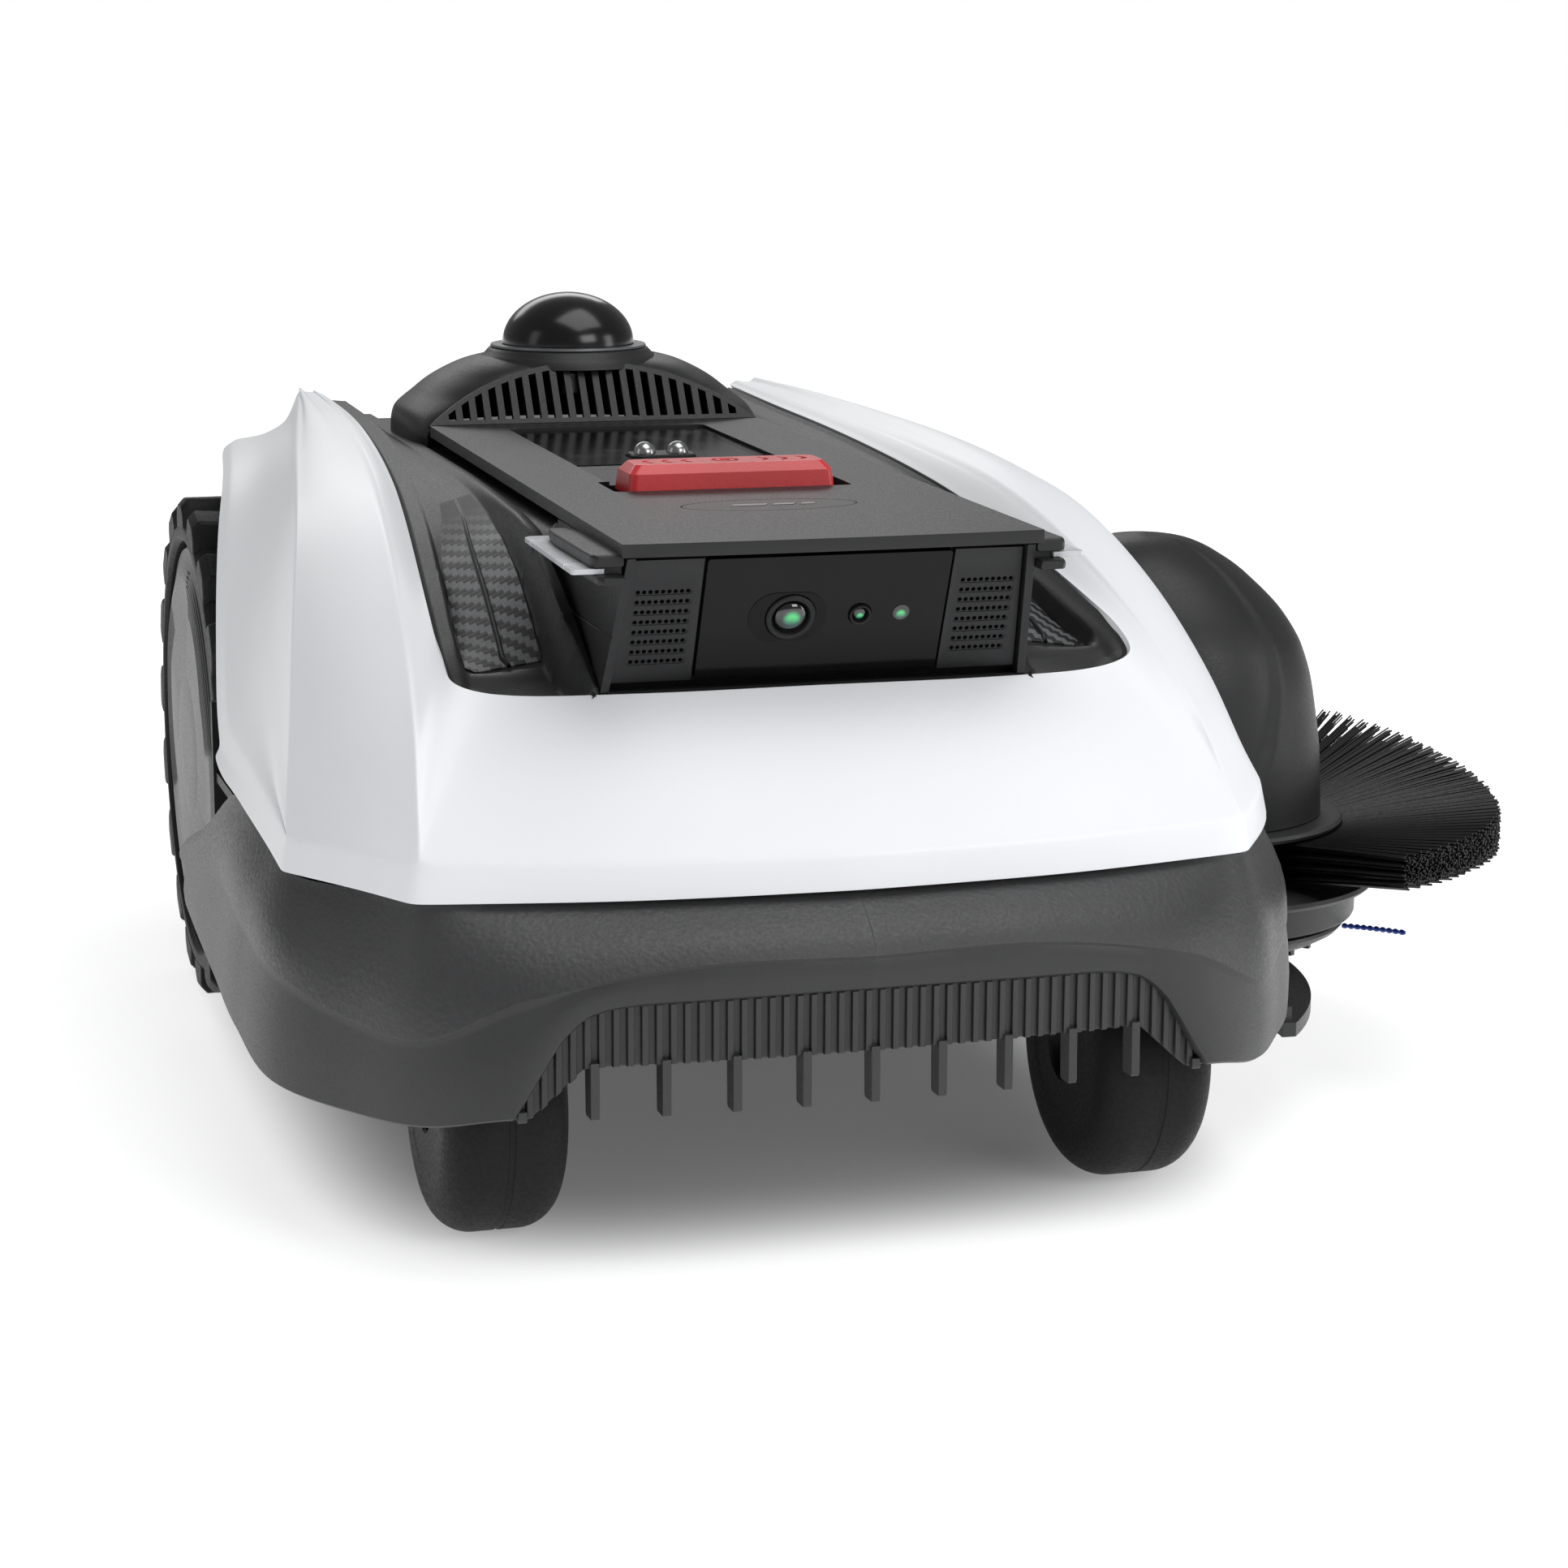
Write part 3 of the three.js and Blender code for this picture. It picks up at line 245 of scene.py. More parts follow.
BLADE = plastic("blade_steel", (0.55, 0.56, 0.57), 0.26, grain=900, metallic=1.0, stretch=(0.06, 1, 1),
                bump=0.12)
BRISTLE = plastic("bristle_black", (0.006, 0.0061, 0.0066), 0.45, specular=0.35, grain=900, bump=0.15,
                  wear=0.0, mottling=0.4)
BLUE = plastic("line_blue", (0.008, 0.035, 0.24), 0.38, grain=1600, bump=0.1, wear=0.2)
CELL = plastic("battery_case", (0.07, 0.075, 0.085), 0.5, grain=800, bump=0.2, wear=0.3)
BOARD = plastic("board_green", (0.02, 0.12, 0.05), 0.4, grain=500, bump=0.2, wear=0.2, coat=0.4, mottling=0.3)
RING = plastic("ring_grey", (0.16, 0.165, 0.17), 0.35, grain=1200, metallic=0.6, wear=0.2)
GLOSS = glass("gloss_black", (0.003, 0.003, 0.0035), 0.16, 0.04, specular=0.16)
WINDOW = glass("window_black", (0.003, 0.003, 0.0035), 0.14, 0.03, specular=0.2)
DOME = glass("dome_black", (0.002, 0.002, 0.0022), 0.2, 0.03, specular=0.45)
CLEAR = glass("light_clear", (0.5, 0.52, 0.54), 0.22, 0.08, transmission=0.12)
CARBON = carbon()


# ------------------------------------------------------------------ mesh helpers
def grid_faces(rows, columns, wrap_rows, wrap_columns):
    faces = []
    for i in range(rows if wrap_rows else rows - 1):
        for j in range(columns if wrap_columns else columns - 1):
            a, b = (i % rows) * columns, ((i + 1) % rows) * columns
            k = (j + 1) % columns
            faces.append((a + j, b + j, b + k, a + k))
    return faces


class Mesh:
    """Collects vertices and faces, in millimetres, with the index of each face's material."""

    def __init__(self):
        self.points = []
        self.faces = []
        self.slots = []

    def add(self, points, faces, slot=0):
        start = len(self.points)
        self.points.extend(np.asarray(p, float) for p in points)
        self.faces.extend(tuple(start + i for i in face) for face in faces)
        self.slots.extend([slot] * len(faces))
        return self

    def grid(self, rows, slot=0, wrap_rows=False, wrap_columns=False, caps=False):
        rows = [list(row) for row in rows]
        columns = len(rows[0])
        faces = grid_faces(len(rows), columns, wrap_rows, wrap_columns)
        if caps:
            faces.append(tuple(reversed(range(columns))))
            faces.append(tuple((len(rows) - 1) * columns + j for j in range(columns)))
        return self.add([p for row in rows for p in row], faces, slot)

    def mirrored(self):
        """Adds the image of everything so far across X = 0."""
        points = [p * (-1, 1, 1) for p in self.points]
        faces = [tuple(reversed(face)) for face in self.faces]
        slots = list(self.slots)
        self.add(points, faces)
        self.slots[-len(slots):] = slots
        return self

    def shifted(self, x, y, z):
        self.points = [p + (x, y, z) for p in self.points]
        return self

    def moved(self, matrix):
        self.points = [np.array(matrix @ Vector(p)) for p in self.points]
        return self


def turned(profile, steps=64, slot=0, mesh=None):
    """A profile of (radius, z) points turned about Z, all the way round."""
    rows = []
    for i in range(steps):
        angle = 2 * math.pi * i / steps
        rows.append([(*polar(r, angle), z) for r, z in profile])
    return (mesh or Mesh()).grid(rows, slot=slot, wrap_rows=True)


def extruded(outline, z0, z1, slot=0, mesh=None):
    """A closed outline (x, y), counter-clockwise, extruded from z0 to z1."""
    mesh = mesh or Mesh()
    return mesh.grid([[(x, y, z) for x, y in outline] for z in (z0, z1)], slot=slot, wrap_columns=True,
                     caps=True)


def block(x0, x1, y0, y1, z0, z1, mesh=None):
    return extruded([(x0, y0), (x1, y0), (x1, y1), (x0, y1)], z0, z1, mesh=mesh)


def spokes(mesh, count, *box):
    """Adds one block again and again, turned about Z in equal steps."""
    for i in range(count):
        spoke = block(*box).moved(Matrix.Rotation(2 * math.pi * i / count, 4, "Z"))
        mesh.add(spoke.points, spoke.faces)


def rounded(x0, x1, y0, y1, radius, steps=6):
    """The outline of a rectangle with rounded corners, counter-clockwise."""
    corners = [(x1 - radius, y0 + radius, -90), (x1 - radius, y1 - radius, 0),
               (x0 + radius, y1 - radius, 90), (x0 + radius, y0 + radius, 180)]
    points = []
    for cx, cy, first in corners:
        for k in range(steps + 1):
            angle = math.radians(first + 90 * k / steps)
            points.append((cx + radius * math.cos(angle), cy + radius * math.sin(angle)))
    return points


def circle(radius, steps=24, centre=(0, 0)):
    turn = 2 * math.pi / steps
    return [(centre[0] + radius * math.cos(i * turn), centre[1] + radius * math.sin(i * turn))
            for i in range(steps)]


def ellipse(a, b, steps=64):
    turn = 2 * math.pi / steps
    return [(a * math.cos(i * turn), b * math.sin(i * turn)) for i in range(steps)]


def smooth_line(points, per_span):
    """Centripetal Catmull-Rom curve through the points."""
    pts = [np.array(p, float) for p in points]
    pts = [2 * pts[0] - pts[1], *pts, 2 * pts[-1] - pts[-2]]
    made = []
    for p0, p1, p2, p3 in zip(pts, pts[1:], pts[2:], pts[3:]):
        d0, d1, d2 = [max(np.linalg.norm(b - a) ** 0.5, 1e-4) for a, b in ((p0, p1), (p1, p2), (p2, p3))]
        m1 = ((p1 - p0) / d0 - (p2 - p0) / (d0 + d1) + (p2 - p1) / d1) * d1
        m2 = ((p2 - p1) / d1 - (p3 - p1) / (d1 + d2) + (p3 - p2) / d2) * d1
        for k in range(per_span):
            t = k / per_span
            made.append(p1 + m1 * t + (3 * (p2 - p1) - 2 * m1 - m2) * t**2 + (2 * (p1 - p2) + m1 + m2) * t**3)
    made.append(pts[-2])
    return made


def polar(radius, angle):
    return radius * math.cos(angle), radius * math.sin(angle)


def smoothstep(low, high, value):
    t = min(1.0, max(0.0, (value - low) / (high - low)))
    return t * t * (3 - 2 * t)


def lerp(a, b, t):
    return a + (b - a) * t


# ------------------------------------------------------------------ objects
def linked(name, data):
    obj = bpy.data.objects.new(name, data)
    bpy.context.scene.collection.objects.link(obj)
    return obj


@contextmanager
def editing(obj):
    """The object's mesh as a bmesh, written back at the end."""
    made = bmesh.new()
    made.from_mesh(obj.data)
    yield made
    made.to_mesh(obj.data)
    made.free()


def as_object(name, mesh, materials, weld=0.01, recalculate=True):
    """An object whose vertices closer than weld, in millimetres, are one and whose faces look outwards."""
    data = bpy.data.meshes.new(name)
    data.from_pydata([tuple(place(p)) for p in mesh.points], [], mesh.faces)
    for material in materials:
        data.materials.append(material)
    data.polygons.foreach_set("material_index", mesh.slots)
    obj = linked(name, data)
    with editing(obj) as made:
        bmesh.ops.remove_doubles(made, verts=made.verts, dist=weld * MM)
        bmesh.ops.dissolve_degenerate(made, edges=made.edges, dist=0.002 * MM)
        if recalculate:
            bmesh.ops.recalc_face_normals(made, faces=made.faces)
    return obj


def turn_up(obj):
    """Turns an open skin over if most of its area faces down."""
    with editing(obj) as made:
        if sum(face.normal.z * face.calc_area() for face in made.faces) < 0:
            bmesh.ops.reverse_faces(made, faces=made.faces)


def face_along(obj, axis):
    """Turns an open skin over if most of its area faces against the axis."""
    if sum(p.normal[axis] * p.area for p in obj.data.polygons) < 0:
        obj.data.flip_normals()


def modify(obj, kind, **settings):
    modifier = obj.modifiers.new(kind.lower(), kind)
    for key, value in settings.items():
        setattr(modifier, key, value)
    return modifier


def settle(obj):
    """Applies every modifier."""
    graph = bpy.context.evaluated_depsgraph_get()
    data = bpy.data.meshes.new_from_object(obj.evaluated_get(graph))
    old = obj.data
    obj.modifiers.clear()
    obj.data = data
    bpy.data.meshes.remove(old)


def carve(obj, *tools, operation="DIFFERENCE"):
    """Cuts obj with closed meshes given in millimetres."""
    cutters = []
    for tool in tools:
        cutter = as_object("cutter", tool, [])
        modify(obj, "BOOLEAN", object=cutter, operation=operation, solver="EXACT")
        cutters.append(cutter)
    settle(obj)
    for cutter in cutters:
        bpy.data.objects.remove(cutter)


def bevelled(obj, width, segments=3):
    modify(obj, "BEVEL", width=width * MM, segments=segments, limit_method="ANGLE",
           angle_limit=math.radians(30.0), use_clamp_overlap=True, harden_normals=False)
    settle(obj)


def solid(obj, thickness, levels=0, crease=0.6):
    """Gives an open skin a wall on its inner side, then smooths it."""
    modify(obj, "SOLIDIFY", thickness=thickness * MM, offset=-1.0, use_even_offset=False,
           edge_crease_inner=crease, edge_crease_outer=crease, edge_crease_rim=0.0)
    if levels:
        modify(obj, "SUBSURF", levels=levels, render_levels=levels)
    settle(obj)


BODY_OF = {name: body for body, names in frame["record"]["behaviour"]["bodies"].items() for name in names}


def finish(obj, stands_for=None, angle=35.0):
    """Smooth shading, the body that the CAD node the piece stands for rides on, and that node hidden; trim
    has none and rides on the base.
    """
    obj.data.polygons.foreach_set("use_smooth", [True] * len(obj.data.polygons))
    obj.data.set_sharp_from_angle(angle=math.radians(angle))
    modify(obj, "WEIGHTED_NORMAL", keep_sharp=True, weight=50)
    settle(obj)
    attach(obj, BODY_OF.get(stands_for, "base"))
    if stands_for:
        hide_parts(stands_for)
    return obj


def piece(name, mesh, materials, stands_for, bevel=0.0, segments=2, angle=35.0):
    """A finished piece that stands for its node and rides where it rides."""
    obj = as_object(name, mesh, materials)
    if bevel:
        bevelled(obj, bevel, segments)
    return finish(obj, stands_for, angle=angle)


def refined(node_name, material, bevel, segments=2):
    """The CAD node's own shape with its edges broken, as a new piece that stands for it."""
    obj = linked(node_name + "_skin", frame["nodes"][node_name].data.copy())
    obj.data.materials.clear()
    obj.data.materials.append(material)
    with editing(obj) as made:
        bmesh.ops.remove_doubles(made, verts=made.verts, dist=0.02 * MM)
        bmesh.ops.dissolve_limit(made, angle_limit=math.radians(1.0), verts=made.verts, edges=made.edges)
    bevelled(obj, bevel, segments)
    return finish(obj, node_name)


# ------------------------------------------------------------------ white shell
COVER_INNER = [
    (97, 406, 247), (97, 326, 245), (101, 250, 242), (107.5, 165, 235.5), (113, 108, 228), (119, 48, 216),
    (123.7, 0, 205), (126, -28, 197.5), (124.5, -43, 191), (112, -49, 187.5), (66, -64.5, 188.3),
    (0, -66, 188.6),
]
COVER_CREST = [
    (104, 402, 248.5), (107.5, 330, 248.5), (112, 250, 246.5), (119, 165, 242.5), (125.8, 98, 235.7),
    (131.8, 32, 219.4), (137.9, -30, 194.5), (142.5, -68, 170.5), (145.6, -87.5, 149.5),
    (147.3, -96.2, 139.5), (75, -110.2, 139.5), (0, -115, 139.5),
]
COVER_SHOULDER = [
    (110, 396, 248.5), (119, 335, 248.5), (130, 265, 246.5), (141, 195, 242.5), (149.5, 140, 235.9),
    (157.6, 90, 226), (167.3, 38, 201.7), (174.7, 0, 173.1), (179.5, -22, 149), (181.8, -34, 138.2),
]
COVER_FOOT = [
    (114, 412, 231), (125, 338, 239), (135, 265, 241), (145, 198, 237), (155, 148, 224), (166, 92, 198),
    (173, 40, 178), (177.5, 4, 160), (180.5, -20, 146), (181.8, -34, 138.2),
]
COVER_ARCH = [
    (141, 404, 225), (152, 340, 229), (162, 265, 225), (171, 215, 208), (180, 158, 177), (187, 98, 145.5),
    (185.5, 48, 142.5), (184, 10, 141.3), (182.8, -16, 140), (181.8, -34, 138.2),
]
COVER_STEPS = 4
COVER_WALL = 2.8
BAND_HEIGHT = 12.5


def toward(line, other, reach):
    """Each point of a line moved the given distance towards the other line."""
    made = []
    for a, b in zip(line, other):
        span = np.linalg.norm(b - a)
        made.append(a + (b - a) * (min(reach, 0.42 * span) / span if span > 1e-6 else 0))
    return made


def between(line, other, fraction, bulge=0.0):
    made = []
    for a, b in zip(line, other):
        q = lerp(a, b, fraction)
        out = np.array([q[0], 2 * q[1] if q[1] < 0 else 0, 150.0])
        made.append(q + out / np.linalg.norm(out) * 4 * fraction * (1 - fraction) * bulge)
    return made


def white_cover():
    turn = len(COVER_SHOULDER) - 1
    inner = smooth_line(COVER_INNER, COVER_STEPS)
    crest = [*smooth_line(COVER_CREST[:turn + 1], COVER_STEPS),
             *smooth_line(COVER_CREST[turn:], COVER_STEPS)[1:]]
    shoulder, foot, arch = (smooth_line(line, COVER_STEPS)
                            for line in (COVER_SHOULDER, COVER_FOOT, COVER_ARCH))
    corner = turn * COVER_STEPS
    side_crest = crest[:corner + 1]
    brow = [lerp(a, f, 0.14) + (0, 0, 1.2 * smoothstep(-50, 60, a[1])) for a, f in zip(arch, foot)]
    top = [inner, toward(inner, crest, 2.5), between(inner, crest, 0.3, 1.5), between(inner, crest, 0.6, 1.5),
           toward(crest, inner, 4), crest]
    bevel = [side_crest, toward(side_crest, shoulder, 4), between(side_crest, shoulder, 0.36, 3),
             between(side_crest, shoulder, 0.7, 3), toward(shoulder, side_crest, 2.5), shoulder]
    side = [shoulder, toward(shoulder, foot, 2.5), toward(foot, shoulder, 3), toward(foot, brow, 6),
            between(foot, brow, 0.55, -1.0), toward(brow, foot, 2.5), brow, toward(brow, arch, 1.2),
            toward(arch, brow, 1.0), arch]
    start = 5 * COVER_STEPS
    lip = [*arch[start:], *[row[corner] for row in reversed(bevel)][1:], *crest[corner + 1:]]
    edge = []
    for x, y, z in lip:
        rise = min(1.0, max(0.0, (y + 50) / 145)) * 8
        edge.append(np.array((x * 1.012, y - 1.2 if y < 60 else y, z - BAND_HEIGHT + rise)))
    band = [lip, toward(lip, edge, 2.5), toward(edge, lip, 1.5), edge]
    mesh = Mesh()
    for rows in (top, bevel, side, band):
        mesh.grid(rows)
    mesh.mirrored()
    obj = as_object("white_shell", mesh, [WHITE], 0.02)
    turn_up(obj)
    solid(obj, COVER_WALL, levels=2, crease=0.75)
    return finish(obj, "white_cover", angle=60)


# ------------------------------------------------------------------ black upper shell
DECK_STEPS = 10
DECK_EDGE = smooth_line(COVER_INNER, DECK_STEPS)
EDGE_POINTS = np.array(DECK_EDGE)
DECK_PLATEAU = 235.0
HOOD_EDGE, HEAD_SIDE = 75.5, 77.6
SCAN_Y = 321.5


def edge_at(y):
    """The shell's inner edge abreast of y: its x and z."""
    for a, b in zip(DECK_EDGE, DECK_EDGE[1:]):
        if b[1] <= y <= a[1] and a[1] > b[1]:
            t = (a[1] - y) / (a[1] - b[1])
            return lerp(a[0], b[0], t), lerp(a[2], b[2], t)
    return (DECK_EDGE[0][0], DECK_EDGE[0][2]) if y > 0 else (HEAD_SIDE, 191.0)


def edge_distance(x, y):
    """How far a point is from the shell's inner edge in plan, and the edge's height there."""
    best = None
    for a, b in zip(DECK_EDGE, DECK_EDGE[1:]):
        if abs((a[1] + b[1]) / 2 - y) > 60:
            continue
        d = b[:2] - a[:2]
        t = min(1.0, max(0.0, float(np.dot((x, y) - a[:2], d) / np.dot(d, d))))
        gap = math.hypot(*(np.array((x, y)) - (a[:2] + t * d)))
        if best is None or gap < best[0]:
            best = (gap, lerp(a[2], b[2], t))
    gap, nearest = best
    if gap < 4 or y > 40:
        return best
    # Well inside, the edge's height is an average that changes without a jump from one side to the next.
    weight = ((EDGE_POINTS[:, 0] - x) ** 2 + (EDGE_POINTS[:, 1] - y) ** 2) ** -1.5
    average = float(np.dot(weight, EDGE_POINTS[:, 2]) / weight.sum())
    share = smoothstep(4, 9, gap) * (1 - smoothstep(10, 40, y))
    return gap, lerp(nearest, average, share)


# The channel beside the hood: y, foot x, foot z, ridge x, ridge z and the drop behind the rim.
CHANNEL = [
    (-66, 79.6, 188.0, 78.4, 188.3, 0.0), (-58, 82, 188.2, 78.6, 191, 0.3),
    (-50, 85.5, 188.4, 79, 195.0, 0.6), (-40, 87.5, 189.2, 80.0, 201, 1.2),
    (-27, 88.2, 190.8, 81.2, 207, 5.0), (-22, 88, 192.2, 81.5, 209.6, 7.4), (0, 86.6, 203, 81, 219, 8.6),
    (18, 85.6, 210.6, 80.4, 226, 8.2), (36, 84.6, 217, 79.8, 231.5, 7), (66, 83.4, 224.5, 79.2, 234.2, 4),
    (98, 82.6, 229.5, 78.8, 235.4, 1.6), (130, 82.2, 233, 78.4, 236.4, 0.7),
    (170, 82, 235.5, 78.2, 237.2, 0.3), (250, 82, 237.0, 78, 237.4, 0.0),
    (406, 82, 237.4, 80, 237.4, 0.0),
]
CHANNEL_Y = [row[0] for row in CHANNEL]


def channel(y, column):
    return float(np.interp(y, CHANNEL_Y, [row[column] for row in CHANNEL]))


def deck_height(x, y):
    gap, edge_z = edge_distance(x, y)
    rim = edge_z - 1.0 - 1.4 * smoothstep(0.2, 2.6, gap) - 0.1 * min(gap, 9)
    foot, foot_z, crest, ridge, drop = (channel(y, column) for column in (1, 2, 3, 4, 5))
    side_x, side_z = edge_at(y)
    outer = side_x - 10.0
    share = min(1.0, max(0.0, (outer - x) / max(1.0, outer - foot)))
    bed = lerp(side_z - 3.2 - drop, foot_z, share)
    bed = lerp(rim, bed, smoothstep(-34, -21, y)) if y < -21 else bed
    surface = lerp(rim, bed, smoothstep(7.6, 10.2, gap))
    if x > foot:
        return surface
    climb = min(1.0, (foot - x) / max(0.5, foot - crest))
    return lerp(surface, ridge, math.sin(0.5 * math.pi * climb) * 0.72 + 0.28 * climb * climb)


def top_deck():
    stations = [402 - 4.5 * i for i in range(92)] + [-8.4 - 0.9 * i for i in range(60)]
    stations = [y for y in stations if y > 0 or edge_at(y)[0] - 0.5 > HEAD_SIDE + 1.0]
    columns = 52
    rows = []
    for y in stations:
        outer = edge_at(y)[0] - 0.5
        inner = HOOD_EDGE if y > 24 else HEAD_SIDE
        xs = [lerp(outer, inner, k / columns) for k in range(columns + 1)]
        rows.append([(x, y, deck_height(x, y)) for x in xs])
    sides = Mesh().grid(rows).mirrored()
    walls = [[(HOOD_EDGE, y, deck_height(HOOD_EDGE, y)), (HOOD_EDGE - 4, y, DECK_PLATEAU),
              (30, y, DECK_PLATEAU),
              (0, y, DECK_PLATEAU)] for y in stations if y >= 24]
    middle = Mesh().grid(walls).mirrored()
    sill_rows = []
    for x in range(-72, 73, 4):
        front = float(np.interp(abs(x), [0, 66, 72, 78], [-65.2, -63.7, -61.9, -60.0]))
        sill_rows.append([(x, front, 187.4), (x, front + 1.5, 187.2), (x, -56, 184.6)])
    for part in (middle, Mesh().grid(sill_rows)):
        sides.add(part.points, part.faces)
    obj = as_object("upper_shell", sides, [BLACK], 0.05, recalculate=False)
    with editing(obj) as made:
        bmesh.ops.recalc_face_normals(made, faces=made.faces)
    turn_up(obj)
    modify(obj, "SOLIDIFY", thickness=2.2 * MM, offset=-1.0)
    settle(obj)
    carve(obj, extruded(circle(23, 40, (0, SCAN_Y)), 200, 260))
    return finish(obj, "top_deck", angle=50)


def carbon_inlay(word, side):
    """Two woven strips on the channel's floor, with a thin rib between them."""
    mesh = Mesh()
    stations = [132 - 2.5 * i for i in range(62)]

    def strip(start, end, lift, slot, columns=8):
        rows = []
        for y in stations:
            inner = channel(y, 1) + 0.8
            outer = edge_at(y)[0] - 10.4
            outer = outer - 3.0 * (1 - smoothstep(-20.5, -15, y)) - 5.0 * smoothstep(60, 132, y)
            row = []
            for k in range(columns + 1):
                x = lerp(inner, outer, lerp(start, end, k / columns))
                bead = lift * (1 - smoothstep(70, 128, y)) * math.sin(math.pi * k / columns) if slot else 0.0
                row.append((x, y, deck_height(x, y) + 0.6 + bead))
            rows.append(row)
        mesh.grid(rows, slot=slot)

    strip(0.0, 0.45, 0.0, 0)
    strip(0.53, 1.0, 0.0, 0)
    strip(0.45, 0.53, 1.3, 1, columns=6)
    if side < 0:
        mesh.points = [p * (-1, 1, 1) for p in mesh.points]
        mesh.faces = [tuple(reversed(face)) for face in mesh.faces]
    name = f"carbon_inlay_{word}"
    obj = as_object(name + "_skin", mesh, [CARBON, BLACK], 0.02)
    face_along(obj, 2)
    modify(obj, "SOLIDIFY", thickness=0.5 * MM, offset=-1.0)
    settle(obj)
    return finish(obj, name, angle=50)


white_cover()
top_deck()
carbon_inlay("right", 1)
carbon_inlay("left", -1)


# ------------------------------------------------------------------ hood, keys and display
HOOD_FRONT, HOOD_REAR = (-85.0, 242.7), (268.0, 245.5)
HOOD_TILT = math.atan2(HOOD_REAR[1] - HOOD_FRONT[1], HOOD_REAR[0] - HOOD_FRONT[0])
ON_HOOD = (Matrix.Translation((0, HOOD_FRONT[0], HOOD_FRONT[1])) @ Matrix.Rotation(HOOD_TILT, 4, "X")
           @ Matrix.Translation((0, -HOOD_FRONT[0], 0)))
KEY_X, KEY_Y, STOP_Y = 22.0, 104.0, 58.5


def on_hood(mesh):
    return mesh.moved(ON_HOOD)


def ring_tool(outer, inner, z0, z1, centre=(0, 0)):
    """A flat closed band between two outlines with the same number of points."""
    tool = Mesh()
    cx, cy = centre
    loops = [[(x + cx, y + cy, z0) for x, y in outer], [(x + cx, y + cy, z1) for x, y in outer],
             [(x + cx, y + cy, z1) for x, y in inner], [(x + cx, y + cy, z0) for x, y in inner]]
    return tool.grid(loops, wrap_rows=True, wrap_columns=True)


def hood_plate():
    steps = 24
    front = [(x, -85 - 2 * (1 - (x / 74.8) ** 2)) for x in np.linspace(-74.8, 74.8, steps)]
    plate = extruded([*front, (72.8, 268), (-72.8, 268)], -4.6, 0)
    obj = as_object("hood", on_hood(plate), [BLACK])
    bays = [on_hood(extruded(rounded(-46, 46, 44, 73.2, 2.5), -20, 20)),
            on_hood(extruded(rounded(-42.6, 42.6, 72.8, 249.2, 3), -20, 20))]
    oval = on_hood(ring_tool(ellipse(33, 14.5, 72), ellipse(32.5, 14.0, 72), -0.45, 2, (0, -2)))
    carve(obj, *bays, oval)
    bevelled(obj, 0.7, 3)
    badge = Mesh()
    for x0, width in ((-15, 13), (0.5, 8), (11, 5)):
        on_bar = [(x0, -4), (x0 + width, -4), (x0 + width + 2.2, 0), (x0 + 2.2, 0)]
        extruded(on_bar, 0.0, 0.22, mesh=badge)
    mark = as_object("hood_mark", on_hood(badge), [RING])
    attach(mark, "base")
    return finish(obj, "hood_plate")


def stop_button():
    half_x, half_y, top = 40.2, 12.5, 9.0
    layers = [(0, -2.0), (0.9, 5.6), (1.0, 5.8), (3.6, 8.7), (3.8, 8.9), (4.2, 9.0)]
    mesh = Mesh()
    loops = [[(x, y, z) for x, y in rounded(-half_x + inset, half_x - inset, STOP_Y - half_y + inset,
                                            STOP_Y + half_y - inset, 3.2)] for inset, z in layers]
    mesh.grid(loops, wrap_columns=True, caps=True)
    obj = as_object("stop_bar_cap", on_hood(mesh), [RED])
    symbol, hollow = (circle(radius, 8, (0, STOP_Y)) for radius in (5.4, 4.0))
    tools = [ring_tool(symbol, hollow, top - 0.5, top + 2)]
    tools.append(block(-2, 2, STOP_Y - 2, STOP_Y + 2, top - 0.5, top + 2))
    for side in (-1, 1):
        for x in (13, 20.5, 28):
            chevron = [(x, -4.5), (x + 1.8, -4.5), (x + 4.4, 0), (x + 1.8, 4.5), (x, 4.5), (x + 2.6, 0)]
            points = [(side * px, STOP_Y + py) for px, py in chevron]
            tools.append(extruded(points if side > 0 else points[::-1], top - 0.5, top + 2))
    carve(obj, *[on_hood(tool) for tool in tools])
    bevelled(obj, 0.25, 2)
    return finish(obj, "stop_button")


def key_panel():
    obj = as_object("key_surround", on_hood(extruded(rounded(-42, 42, 74.2, 132, 3), -4.5, -1.6)), [DEEP])
    bores = [extruded(circle(6.5, 40, (side * KEY_X, KEY_Y)), -10, 10) for side in (-1, 1)]
    rims = [ring_tool(circle(8.2, 48), circle(7.8, 48), -1.9, 2, (side * KEY_X, KEY_Y)) for side in (-1, 1)]
    carve(obj, *[on_hood(tool) for tool in bores + rims])
    bevelled(obj, 0.3, 2)
    finish(obj, "key_panel")
    for name, side in (("start_key", -1), ("home_key", 1)):
        cap = turned([(0, -4.2), (6, -4.2), (6, -1.5), (5.7, -1.1), (4.5, -0.95), (0, -1.15)], 48)
        cap.shifted(side * KEY_X, KEY_Y, 0)
        skin = as_object(name + "_cap", on_hood(cap), [BLACK, RING])
        if name == "start_key":
            icon = [(-1.6, -2.4), (2.4, 0), (-1.6, 2.4)]
        else:
            icon = [(-2.4, 0), (0, -2.4), (2.4, 0), (1.6, 0), (1.6, 2.2), (-1.6, 2.2), (-1.6, 0)]
        tool = extruded([(side * KEY_X + x, KEY_Y + y) for x, y in icon], -1.35, 2)
        if name == "home_key":
            tool = extruded([(side * KEY_X - x, KEY_Y - y) for x, y in icon], -1.35, 2)
        carve(skin, on_hood(tool))
        finish(skin, name)


